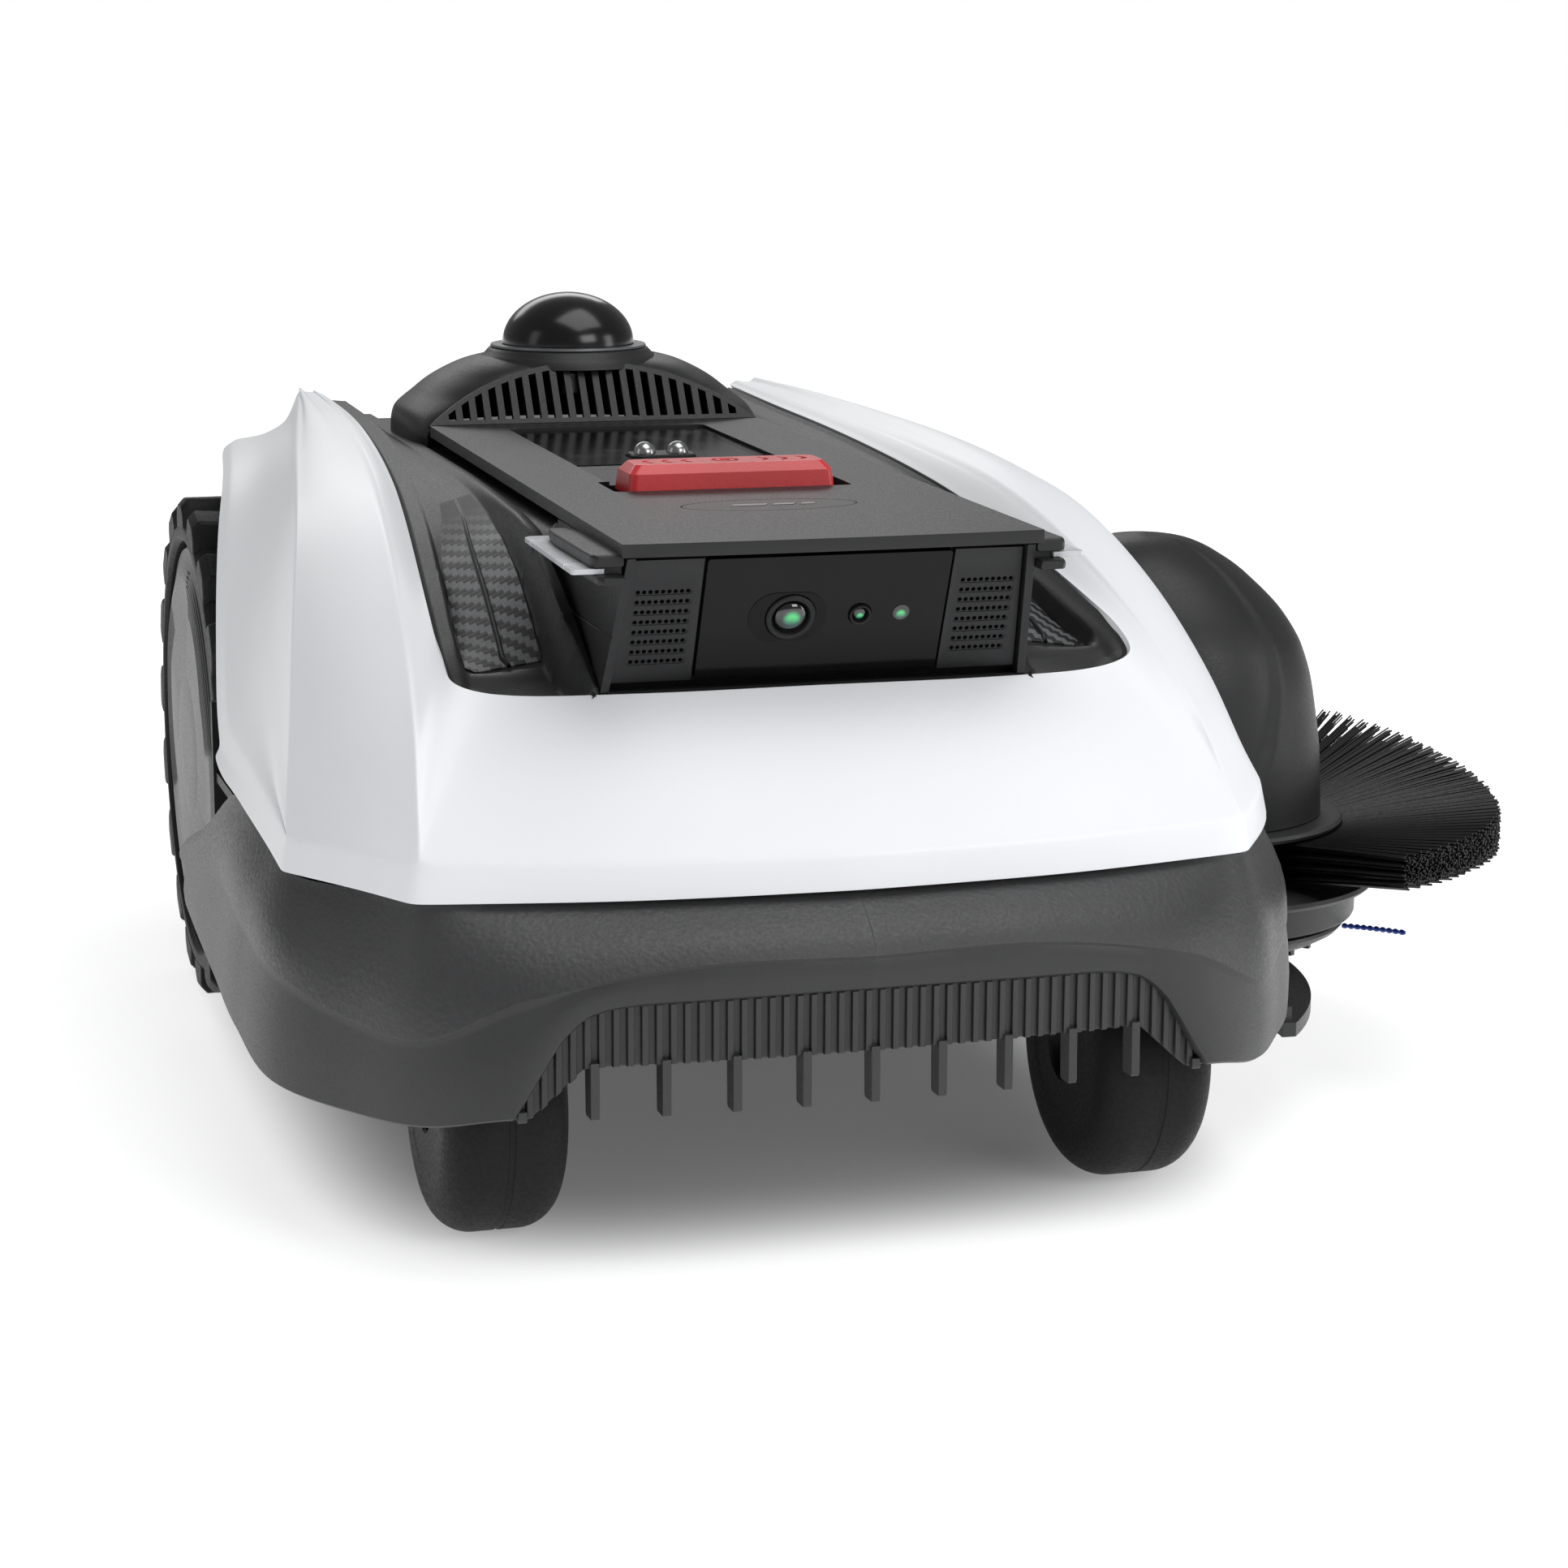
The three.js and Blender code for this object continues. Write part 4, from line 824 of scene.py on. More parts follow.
def display_glass():
    obj = as_object("display_panel", on_hood(extruded(rounded(-42, 42, 132.5, 248.5, 2.5), -4, -1.2)),
                    [GLOSS])
    slot = extruded(rounded(-14, 14, 147, 164, 5.4, 10), -10, 10)
    line = ring_tool(rounded(-38, 38, 136, 245, 4), rounded(-37.7, 37.7, 136.3, 244.7, 3.8), -1.3, 2)
    carve(obj, on_hood(slot), on_hood(line))
    finish(obj, "display_glass", angle=20)
    bed = Mesh()
    loops = [[(x, y, z) for x, y in rounded(-13.4 + inset, 13.4 - inset, 147.6 + inset, 163.4 - inset, 5, 10)]
             for inset, z in ((0, -5), (0, -0.5), (0.5, 0.1), (1.6, 0.2))]
    bed.grid(loops, wrap_columns=True, caps=True)
    for x in (-6.8, 6.8):
        profile = [(4.8, 0.0)] + [(4.5 * math.cos(a), 0.2 + 4.5 * math.sin(a))
                                  for a in np.linspace(0, math.pi / 2, 10)]
        ball = turned([(r if r > 1e-6 else 0.0, z) for r, z in profile], 40, slot=1)
        bed.add([p + (x, 155.5, 0) for p in ball.points], ball.faces, 1)
    piece("rain_plate", on_hood(bed), [DEEP, STEEL], "rain_sensor", angle=40)


# ------------------------------------------------------------------ sensor head
HEAD_TOP, HEAD_BOTTOM = (-83.0, 237.4), (-61.0, 187.0)
LEAN = math.atan2(HEAD_BOTTOM[0] - HEAD_TOP[0], HEAD_TOP[1] - HEAD_BOTTOM[1])
ON_FACE = Matrix.Translation((0, HEAD_BOTTOM[0], HEAD_BOTTOM[1])) @ Matrix.Rotation(LEAN, 4, "X")
FACE_HEIGHT = (HEAD_TOP[1] - HEAD_BOTTOM[1]) / math.cos(LEAN)
LENS_Z, LENS_X, AUX_X, THIRD_X = 28.0, -12.0, 13.0, 28.0


FLAT_ON_FACE = ON_FACE @ Matrix(((1, 0, 0, 0), (0, 0, -1, 0), (0, -1, 0, 0), (0, 0, 0, 1)))


def facing(outline, y0, y1):
    """An outline (x, z) on the head's face, extruded from depth y0 to y1 behind it."""
    return extruded([(x, -z) for x, z in outline][::-1], -y1, -y0).moved(FLAT_ON_FACE)


def camera_window():
    obj = as_object("camera_glass", facing(rounded(-43.6, 43.6, 3.6, FACE_HEIGHT - 2.8, 1.2), 2.4, 5.6),
                    [WINDOW])
    bores = [facing(circle(radius, 40, (x, LENS_Z)), -10, 10) for radius, x in ((9.2, LENS_X), (4.3, AUX_X))]
    carve(obj, *bores)
    finish(obj, "camera_window", angle=20)
    bed = as_object("lens_bed", facing(rounded(LENS_X - 15, LENS_X + 13, LENS_Z - 9.8, LENS_Z + 9.8, 9.4, 12),
                                       2.2, 3.0),
                    [GLOSS])
    carve(bed, facing(circle(9.2, 40, (LENS_X, LENS_Z)), -10, 10))
    finish(bed, angle=20)
    rim = facing(circle(3.0, 32, (THIRD_X, LENS_Z)), 2.2, 2.45)
    cover = as_object("third_sensor", rim,
                      [lens_with_painted_glint("third_glass", place(face_point(THIRD_X, LENS_Z)), 0.0036)])
    finish(cover)


def face_point(x, z):
    return np.array(ON_FACE @ Vector((x, 0.0, z)))


def lens(name, radius, x, scale):
    """A barrel with stepped rings round a domed front glass."""
    barrel = [(0, 4.6), (radius, 4.6), (radius, 1.6), (radius - 0.4 * scale, 1.2), (radius * 0.8, 1.3),
              (radius * 0.74, 2.0), (radius * 0.7, 3.4), (0, 3.4)]
    glass_radius = radius * 0.7
    dome = [(glass_radius * math.sin(a), 3.2 - glass_radius * 0.55 * math.cos(a))
            for a in np.linspace(math.pi / 2, 0, 12)]
    mesh = turned(barrel, 56)
    ball = turned([(r if r > 1e-6 else 0.0, z) for r, z in dome], 56)
    mesh.add(ball.points, ball.faces, 1)
    turn = Matrix(((1, 0, 0, x), (0, 0, 1, 0), (0, -1, 0, LENS_Z), (0, 0, 0, 1)))
    mesh.moved(ON_FACE @ turn)
    glassy = lens_with_painted_glint(name + "_glass", place(face_point(x, LENS_Z)), radius * 0.7 * MM)
    piece(name + "_barrel", mesh, [DEEP, glassy], name, angle=40)


def speaker_grille(word, side):
    name = f"speaker_grille_{word}"
    corners = [(44.7, 3.4), (73.3, 3.4), (69.2, FACE_HEIGHT - 2.6), (44.7, FACE_HEIGHT - 2.6)]
    plate = facing([(side * x, z) for x, z in corners][::side], 3.0, 6)
    obj = as_object(name + "_plate", plate, [BLACK])
    holes, beds = Mesh(), Mesh()
    for row in range(8):
        z = 11.6 + row * 4.0
        extruded(rounded(side * 58 - 10.2, side * 58 + 10.2, -z - 1.2, -z + 1.2, 1.1, 3), -3.25, -2,
                 mesh=beds)
        for column in range(9):
            extruded(circle(0.82, 10, (side * 58 + (column - 4) * 2.2, -z)), -5.4, -1, mesh=holes)
    carve(obj, beds.moved(FLAT_ON_FACE))
    carve(obj, holes.moved(FLAT_ON_FACE))
    finish(obj, name, angle=30)


def light_wing(word, side):
    """A thin frosted light plate held between the dark jaws of a bracket on the head's flank."""
    name = f"light_wing_{word}"
    mesh = Mesh()
    blade = [(80, -80.5), (90.4, -80.5), (91.2, -79.6), (89.4, 1.0), (87.4, 3.6), (80, 3.6)]
    extruded(blade, 232.4, 234.2, slot=0, mesh=mesh)
    for low, high, reach, front in ((234.4, 239.0, 84.6, -82.0), (228.6, 232.2, 83.6, -86.0)):
        loops = []
        for y, cut in ((front, 1.3), (front + 1.5, 0.4), (front + 4, 0), (-24, 0), (-12, 0.8), (-6, 1.5)):
            section = rounded(73.5, reach - 1.5 * cut, low + 0.3 * cut, high - 0.6 * cut, 1.1, 4)
            loops.append([(x, y, z) for x, z in section])
        mesh.grid(loops, slot=1, wrap_columns=True, caps=True)
    root = [[(x, y, z) for x, z in rounded(73.5, 80.6, 230.5, 236.5, 0.6, 3)] for y in (-79, -10)]
    mesh.grid(root, slot=1, wrap_columns=True, caps=True)
    if side < 0:
        mesh.points = [p * (-1, 1, 1) for p in mesh.points]
    piece(name + "_light", mesh, [CLEAR, BLACK], name, bevel=0.2)


# ------------------------------------------------------------------ turret and scanner
VENT_Y, VENT_Z, VENT_WIDTH, VENT_HEIGHT, VENT_LEAN = 270.0, 245.5, 73.0, 30.0, 0.6
SCAN_Z, SCAN_R, SCAN_H = 275.0, 29.2, 22.2
ON_VENT = (Matrix.Translation((0, VENT_Y, VENT_Z)) @ Matrix.Rotation(-VENT_LEAN, 4, "X")
           @ Matrix.Rotation(math.pi / 2, 4, "X"))
VENT_ARC = (VENT_WIDTH ** 2 + VENT_HEIGHT ** 2) / (2 * VENT_HEIGHT)


def vent_crown(x):
    """The arch over the vent: a shallow arc through both of its ends."""
    return math.sqrt(VENT_ARC ** 2 - x * x) - (VENT_ARC - VENT_HEIGHT)


def vent_grille():
    arch = [(x, vent_crown(x)) for x in (VENT_WIDTH * math.cos(a) for a in np.linspace(0, math.pi, 96))]
    loops = []
    for depth, shrink in ((-3.0, 0.996), (-0.5, 0.996), (0.0, 0.988)):
        loops.append([(x * shrink, y * shrink, depth) for x, y in arch])
    mesh = Mesh().grid(loops, wrap_columns=True, caps=True).moved(ON_VENT)
    obj = as_object("vent_face", mesh, [BLACK])
    slots, count, pitch, half = Mesh(), 21, 6.22, 1.65
    for i in range(count):
        x = (i - (count - 1) / 2) * pitch
        near, far = vent_crown(x - half) - 3.0, vent_crown(x + half) - 3.0
        foot = 2.2
        extruded([(x - half, foot), (x + half, foot), (x + half, far), (x - half, near)], -8, 8, mesh=slots)
    carve(obj, slots.moved(ON_VENT))
    bevelled(obj, 0.4, 2)
    finish(obj, "vent_grille")


TURRET_SIDE = [
    (79.5, 236.4), (79.4, 241), (79.1, 244.6), (77.8, 248.6), (74.6, 251.8), (70.5, 255), (64.8, 259.6),
    (58.7, 263.4), (49.6, 267.7), (43, 269.7), (38.6, 270.6),
]
TURRET_REAR = 0.86


def turret_skin():
    """From the vent's arch round the side to the rounded back, level by level."""
    side = smooth_profile(TURRET_SIDE, 3)
    levels, steps = len(side), 40
    rows = []
    for k, (r, z) in enumerate(side):
        angle = 0.5 * math.pi * max(0.0, (k - 2) / (levels - 3)) ** 0.92
        x = VENT_WIDTH * math.cos(angle)
        crown = max(0.0, vent_crown(x))
        if k < 2:
            x, crown = VENT_WIDTH, 0.0
        front = ON_VENT @ Vector((x, crown, -3.2))
        start = np.array((front.x, front.y, min(front.z, z) if k >= 2 else z))
        row = []
        for i in range(steps + 1):
            t = 0.5 * math.pi * i / steps
            row.append((lerp(start[0], r, math.sin(t)), SCAN_Y - (SCAN_Y - start[1]) * math.cos(t),
                        lerp(start[2], z, math.sin(t) ** 0.8)))
        for i in range(1, steps + 1):
            t = 0.5 * math.pi * i / steps
            row.append((r * math.cos(t), SCAN_Y + TURRET_REAR * r * math.sin(t), z))
        rows.append(row)
    return rows


def lidar_turret():
    mesh = Mesh().grid(turret_skin()).mirrored()
    obj = as_object("scanner_turret", mesh, [BLACK, DEEP], 0.02)
    face_along(obj, 2)
    modify(obj, "SOLIDIFY", thickness=2.6 * MM, offset=-1.0, material_offset=1, material_offset_rim=0)
    settle(obj)
    finish(obj, "lidar_turret", angle=40)
    collar = [(26.5, 264), (40.5, 266.5), (39.4, 269.6), (37.6, 270.9), (36.0, 272.6), (35.2, 273.5),
              (34.2, 273.8), (26.5, 273.8),
              (26.5, 264)]
    seat = turned(collar, 120)
    seat.shifted(0, SCAN_Y, 0)
    rim = as_object("scanner_collar", seat, [BLACK])
    finish(rim, angle=50)


def smooth_profile(points, per_span=4):
    line = smooth_line([(r, 0, z) for r, z in points], per_span)
    return [(float(p[0]), float(p[2])) for p in line]


def scanner():
    ring = turned([(24, -1), (34.4, -1), (34.6, -0.6), (34.3, 0.1), (31.0, 0.35), (30.3, 0.0), (24, 0),
                   (24, -1)], 96)
    ring.shifted(0, SCAN_Y, SCAN_Z)
    piece("scanner_ring", ring, [RING], "lidar_ring", angle=40)
    outside = [(SCAN_R * math.cos(a), SCAN_H * math.sin(a)) for a in np.linspace(0, math.pi / 2, 32)]
    inside = [((SCAN_R - 2) * math.cos(a), (SCAN_H - 2) * math.sin(a))
              for a in np.linspace(math.pi / 2, 0, 32)]
    profile = [(max(0.0, r) if r > 1e-6 else 0.0, z) for r, z in [*outside, *inside, outside[0]]]
    dome = turned(profile, 96)
    dome.shifted(0, SCAN_Y, SCAN_Z + 0.5)
    piece("scanner_dome", dome, [DOME], "lidar_dome", angle=40)
    refined("lidar_rotor", MOTOR, 0.6)


hood_plate()
stop_button()
key_panel()
display_glass()
camera_window()
lens("camera_lens", 8.8, LENS_X, 1.0)
lens("sensor_lens", 3.9, AUX_X, 0.5)
vent_grille()
lidar_turret()
scanner()
for word, side in SIDES:
    speaker_grille(word, side)
    light_wing(word, side)


def head_housing():
    """A box open at the rear whose flanks stand proud of the recessed face like two blinkers."""
    foot_half, top_half, wall, rear_y = 77.3, 72.6, 3.0, 22.0
    outline = [(HEAD_BOTTOM[0], HEAD_BOTTOM[1], foot_half), (rear_y, HEAD_BOTTOM[1], foot_half),
               (rear_y, HEAD_TOP[1], top_half), (*HEAD_TOP, top_half)]
    mesh = Mesh()
    mesh.grid([[(side * half, y, z) for y, z, half in outline] for side in (-1, 1)], wrap_columns=True,
              caps=True)
    obj = as_object("head_shell", mesh, [BLACK])
    hollow = block(-top_half + wall, top_half - wall, -51, rear_y + 5,
                   HEAD_BOTTOM[1] + wall, HEAD_TOP[1] - wall)
    recess = facing([(-75.0, -8), (75.0, -8), (68.9, FACE_HEIGHT + 8), (-68.9, FACE_HEIGHT + 8)], -20, 7)
    groove = Mesh()
    for side in (-1, 1):
        block(side * 75.4 - 0.5, side * 75.4 + 0.5, -100, 30, 208.6, 209.4, mesh=groove)
    foot = block(-80, 80, -70, -59.6, 180, 188.4)
    carve(obj, recess, hollow, groove, foot)
    sill = block(-74, 74, -60.5, -54, 187.0, 188.4)
    lip = as_object("head_sill", sill, [DEEP])
    finish(lip)
    backing = as_object("head_backing", facing(rounded(-69.5, 69.5, 1.7, FACE_HEIGHT - 0.5, 0.5), 6.2, 9),
                        [DEEP])
    finish(backing)
    bevelled(obj, 0.5, 2)
    finish(obj, "head_housing")


# ------------------------------------------------------------------ skirt and comb
SKIRT_LOW = [
    (0, -135, 60), (64, -133, 60), (126, -128, 60), (150, -110, 54.5), (170, -82, 53), (191, -45, 54.5),
    (196.5, 8, 60.0), (195, 80, 60.5), (193, 150, 60), (191.5, 196, 60),
]
# The crease between the grained wall and the smooth lip below it.
SKIRT_CREASE = [
    (0, -133.5, 108.5), (64, -131.5, 108.5), (118, -126, 99), (149, -111, 84.0), (169, -82, 85),
    (188, -46, 93), (192.5, 8, 99), (191, 80, 99), (191.3, 145, 88), (191.3, 190, 78),
]
SKIRT_HIGH = [
    (0, -111, 126.4), (64, -108, 126.4), (122, -99.5, 126.4), (146, -94.5, 126.4), (163, -66, 126),
    (180, -36, 125.4), (183, 0, 129.8), (186, 60, 134), (190, 118, 111), (191.3, 178, 92),
]


def arch_height(x, edge):
    """The lower edge of the front wall: an arch over the comb, then the skirt's own edge."""
    return max(edge, float(np.interp(abs(x), [0, 80, 92, 100, 106, 112, 128],
                                     [97.4, 96.8, 96, 94.3, 91, 84, 50])))


def skirt():
    steps = 18
    low, high, crease = (smooth_line(line, steps) for line in (SKIRT_LOW, SKIRT_HIGH, SKIRT_CREASE))
    upper = [0.0, 0.06, 0.2, 0.38, 0.56, 0.72, 0.85, 0.94, 0.98, 1.0]
    lower = [0.0, 0.04, 0.1, 0.3, 0.6, 0.85, 0.96, 1.0]
    rows = []
    for i, (a, b, mark) in enumerate(zip(high, low, crease)):
        ahead = low[min(i + 1, len(low) - 1)] - low[max(i - 1, 0)]
        out = np.array([-ahead[1], ahead[0], 0.0])
        out = -out / np.linalg.norm(out)
        b = lerp(mark, b, (mark[2] - arch_height(b[0], b[2])) / (mark[2] - b[2]))
        column = []
        for t in upper:
            # The upper wall leaves the shell on a slope and turns upright just above the crease.
            bulge = 2.6 * math.sin(math.pi * t ** 1.3)
            column.append(lerp(a, mark, t) + out * bulge + (0, 0, 0.8 * math.sin(math.pi * t)))
        for t in lower:
            crown = 1.2 * math.sin(math.pi * t)
            column.append(lerp(mark, b, t) + out * (crown - 0.9 * smoothstep(0.0, 0.08, t)))
        rows.append([*column, column[-1] - out * 1.2 + (0, 0, -0.9), column[-1] - out * 4.0 + (0, 0, -1.0)])
    mesh = Mesh()
    split_at = len(upper)
    mesh.grid([row[:split_at + 1] for row in rows], slot=0)
    mesh.grid([row[split_at:] for row in rows], slot=1)
    mesh.mirrored()
    obj = as_object("skirt", mesh, [SKIRT, LIP], 0.02)
    outward = sum(p.normal.y * p.area for p in obj.data.polygons if p.center.y < place((0, -110, 0))[1])
    if outward > 0:
        obj.data.flip_normals()
    modify(obj, "SOLIDIFY", thickness=2.6 * MM, offset=-1.0)
    settle(obj)
    finish(obj, "front_skirt", angle=32)


def bow(x):
    return 7.6 * (x / 119.5) ** 2


def comb():
    """A fluted panel under the arch, with thin teeth that comb the grass."""
    tooth_pitch, rise = 23.9, 1.5
    pitch = tooth_pitch / 5
    mesh = Mesh()
    xs = []
    start = -125.0
    while start < 125.0:
        xs += [(start, 0.0), (start + 0.46 * pitch, 0.0), (start + 0.54 * pitch, rise),
               (start + 0.96 * pitch, rise)]
        start += pitch
    rows = []
    for x, lift in xs:
        reach = abs(x)
        top = float(np.interp(reach, [0, 87, 105, 125.5], [96.4, 95.7, 91, 59.5]))
        bottom = float(np.interp(reach, [0, 98, 116, 126], [75, 75, 58.6, 58.6]))
        if top - bottom < 0.8:
            continue
        front = -132 + bow(x) + rise - lift
        loop = [(front + 0.5, bottom), (front, bottom + 0.6), (front, top), (front + 3.4, top),
                (front + 3.4, bottom)]
        rows.append([(x, y, z) for y, z in loop])
    mesh.grid(rows, wrap_columns=True, caps=True)
    for i in range(11):
        x = (i - 5) * tooth_pitch
        top = 61.5 if abs(i - 5) == 5 else 77
        side = [(-133.6, top), (-133.9, 58.8), (-133.3, 57.7), (-126.4, 57.6), (-125.6, 58.6), (-125, top)]
        loops = [[(x + dx, y + bow(x), z) for y, z in side] for dx in (-1.5, 1.5)]
        mesh.grid(loops, wrap_columns=True, caps=True)
    piece("comb", mesh, [LIP], "front_comb", bevel=0.3, segments=1, angle=30)


# ------------------------------------------------------------------ wheels
WHEEL_R, TYRE_IN, TYRE_OUT, LUGS = 107.5, 129.0, 178.0, 18


def on_axle(mesh, side):
    """From lying on its inner face to standing on the drive axle."""
    turn = Matrix(((0, 0, side, 0), (0, 1, 0, AXLE_Y), (-side, 0, 0, WHEEL_R), (0, 0, 0, 1)))
    return mesh.moved(turn)


def tyre(word, side):
    mesh = Mesh()
    base = WHEEL_R - 9.5
    carcass = [(88.6, TYRE_IN), (base - 2, TYRE_IN), (base, TYRE_IN + 2.5), (base, TYRE_OUT - 4),
               (base - 3, TYRE_OUT - 1.4),
               (90.5, TYRE_OUT - 1.2), (88.6, TYRE_OUT - 3), (88.6, TYRE_IN)]
    turned(carcass, 144, mesh=mesh)
    middle = (TYRE_IN + TYRE_OUT) / 2
    pitch = 2 * math.pi / LUGS
    for row, (z0, z1) in enumerate(((TYRE_IN + 0.5, middle - 1.2), (middle + 1.2, TYRE_OUT - 1.2))):
        for i in range(LUGS):
            first = (i + 0.5 * row) * pitch
            sections = []
            for z, chamfer in ((z0, 3.0 if row == 0 else 0.8), (z0 + 3, 0.0), (z1 - 3, 0.0),
                               (z1, 3.4 if row else 0.8)):
                lead = 0.1 * pitch * (z - z0) / (z1 - z0) * (1 if row else -1)
                corners = [(base - 3, 0.30), (base + 2.5, 0.36), (WHEEL_R - 1 - chamfer, 0.47),
                           (WHEEL_R - chamfer, 0.52),
                           (WHEEL_R - chamfer, 0.84), (WHEEL_R - 1 - chamfer, 0.88), (base + 2.5, 0.93),
                           (base - 3, 0.97)]
                sections.append([(r * math.cos(first + lead + part * pitch),
                                  r * math.sin(first + lead + part * pitch), z)
                                 for r, part in corners])
            mesh.grid(sections, wrap_columns=True, caps=True)
    for i in range(LUGS):
        first = (i + 0.2) * pitch
        web = []
        for z in (middle - 3, middle + 3):
            web.append([(r * math.cos(first + part * pitch), r * math.sin(first + part * pitch), z)
                        for r, part in ((base - 2, 0.0), (base + 4.5, 0.08), (base + 4.5, 0.7),
                                        (base - 2, 0.8))])
        mesh.grid(web, wrap_columns=True, caps=True)
    piece(f"lugged_tyre_{word}", on_axle(mesh, side), [RUBBER], f"tyre_{word}", bevel=0.5, segments=1,
          angle=30)


def hub_cap(word, side):
    """A dished cap: fine arc grooves round part of the rim, three broad facets between."""
    radii = [0, 12, 24, 30, 31, 40, 50, 56] + [57 + 0.5 * k for k in range(47)] + [81, 83, 84.6, 85.5, 85.5]
    steps = 240
    rows = []
    for i in range(steps):
        angle = 2 * math.pi * i / steps
        third = (angle * 3 / (2 * math.pi)) % 1.0
        facet = abs(third - 0.5) * 2
        grooved = smoothstep(0.30, 0.36, third) * (1 - smoothstep(0.92, 0.98, third))
        row = []
        for k, r in enumerate(radii):
            dish = 3.6 * smoothstep(70, 86, r)
            z = 177.6 - dish - 1.6 * facet * smoothstep(24, 55, r) * (1 - smoothstep(60, 84, r))
            if 58 <= r <= 79 and (round((r - 57) * 2) % 4) in (1, 2):
                z -= 0.7 * grooved
            if 30 <= r <= 31:
                z -= 0.5
            if k == len(radii) - 1:
                z = 172.8
            row.append((*polar(r, angle), z))
        rows.append(row)
    mesh = Mesh().grid(rows, wrap_rows=True)
    turned([(0, 172.8), (85.5, 172.8)], steps, mesh=mesh)
    piece(f"hub_disc_{word}", on_axle(mesh, side), [WHEEL], f"hub_cap_{word}", angle=25)


def drive_rim(word, side):
    mesh = turned([(9, 134), (30, 134), (30, 150), (80, 150), (80, 132), (82, 131), (86.6, 131), (87.4, 133),
                   (87.4, 172),
                   (80, 172), (80, 158), (30, 158), (30, 164), (9, 164), (9, 134)], 96)
    extruded(circle(9.4, 48), 88, 165, mesh=mesh)
    spokes(mesh, 9, 30, 80, -1.5, 1.5, 138, 151)
    piece(f"drive_rim_{word}", on_axle(mesh, side), [WHEEL], f"drive_wheel_{word}", angle=35)


def caster(word, side):
    """A barrel-shaped caster wheel and its one-sided arm."""
    at_x, axle_y, radius, half, shoulder = side * 118.0, -55.0, 48.0, 22.0, 14.0
    bend = [(radius - shoulder + shoulder * math.sin(a), half - shoulder + shoulder * math.cos(a))
            for a in np.linspace(0, math.pi / 2, 12)]
    crown = [(radius - 0.02, 4), (radius, 1.2), (radius - 0.35, 0.9), (radius - 0.35, 0.0)]
    right = [(4.5, half - 5), (11, half - 5), (12, half - 1.2), (13, half - 0.4), (26, half - 0.4),
             (27, half)] + bend + crown
    profile = right + [(r, -z) for r, z in reversed(right)] + right[:1]
    wheel = turned(profile, 120)
    stand = Matrix.Rotation(math.pi / 2, 4, "Y")
    wheel.moved(Matrix.Translation((at_x, axle_y, radius)) @ stand)
    piece(f"caster_tyre_{word}", wheel, [RUBBER], f"caster_wheel_{word}", angle=35)
    refined(f"caster_arm_{word}", DEEP, 0.9, 3)


head_housing()
skirt()
comb()
for word, side in SIDES:
    tyre(word, side)
    hub_cap(word, side)
    drive_rim(word, side)
    caster(word, side)


# ------------------------------------------------------------------ edge trimmer
TRIM_X, TRIM_Y = 204.0, 90.0
# The housing and its bracket end flat against the mower's flank.
FLANK_X = 198.4
LINE_ANGLE = -0.6
# Azimuth, in degrees, of the soft step between the housing's inner hood and its outer lobe, by height.
LOBE_EDGE = [
    (100, -92), (118, -82), (135, -72), (155, -64), (175, -60), (200, -54), (214, -50),
]


TRIM_LEAN = ([100, 127, 144, 157, 171, 185, 195, 205, 214], [1.9, 3.9, 6, 7.7, 9.9, 13.8, 17.6, 20, 20])


def trim_lean(z):
    """How far the housing's section at height z is shifted towards the shell."""
    shift = float(np.interp(z, *TRIM_LEAN))
    return -0.92 * shift, 0.39 * shift


def trimmer_housing():
    outside = smooth_profile([(57, 101.5), (57.5, 120), (57.5, 140), (56, 163), (50.5, 182), (38, 200),
                              (21, 210.5), (0, 214)], 8)
    heights, radii = [z for r, z in outside], [max(0.0, r) for r, z in outside]
    steps = 180
    rows = []
    for i in range(steps):
        angle = 2 * math.pi * i / steps
        turn = math.degrees(angle) - (360 if angle > math.pi else 0)
        row = []
        for r, z in zip(radii, heights):
            lean_x, lean_y = trim_lean(z)
            edge = float(np.interp(z, [h for h, a in LOBE_EDGE], [a for h, a in LOBE_EDGE]))
            lobe = smoothstep(edge - 3.5, edge + 3.5, turn) * (1 - smoothstep(110, 122, turn))
            fade = smoothstep(104, 112, z) * (1 - smoothstep(196, 210, z))
            groove = math.exp(-(((turn + 22 - (z - 100) * 0.05) / 1.0) ** 2)) * fade
            reach = max(0.0, r - 1.9 * (1 - lobe) * min(1.0, r / 20) - 0.7 * groove)
            row.append((TRIM_X + lean_x + reach * math.cos(angle), TRIM_Y + lean_y + reach * math.sin(angle),
                        z))
        inner = [(TRIM_X + trim_lean(z)[0] + (r - 3.2) * math.cos(angle),
                  TRIM_Y + trim_lean(z)[1] + (r - 3.2) * math.sin(angle), z - 0.4)
                 for r, z in zip(radii, heights) if r > 8][::-1]
        top_x, top_y = trim_lean(heights[-1])
        rows.append(row + [(TRIM_X + top_x, TRIM_Y + top_y, 210.4)] + inner)
    mesh = Mesh().grid(rows, wrap_rows=True, wrap_columns=True)
    obj = as_object("trimmer_shroud", mesh, [BLACK], 0.02)
    keep = Mesh()
    outline = [(FLANK_X, 90), (290, 90), (290, 230), (160, 230), (166, 216), (194, 150), (FLANK_X, 100)]
    keep.grid([[(x, y, z) for x, z in outline] for y in (-10, 200)], wrap_columns=True, caps=True)
    carve(obj, keep, operation="INTERSECT")
    finish(obj, "trimmer_housing", angle=32)


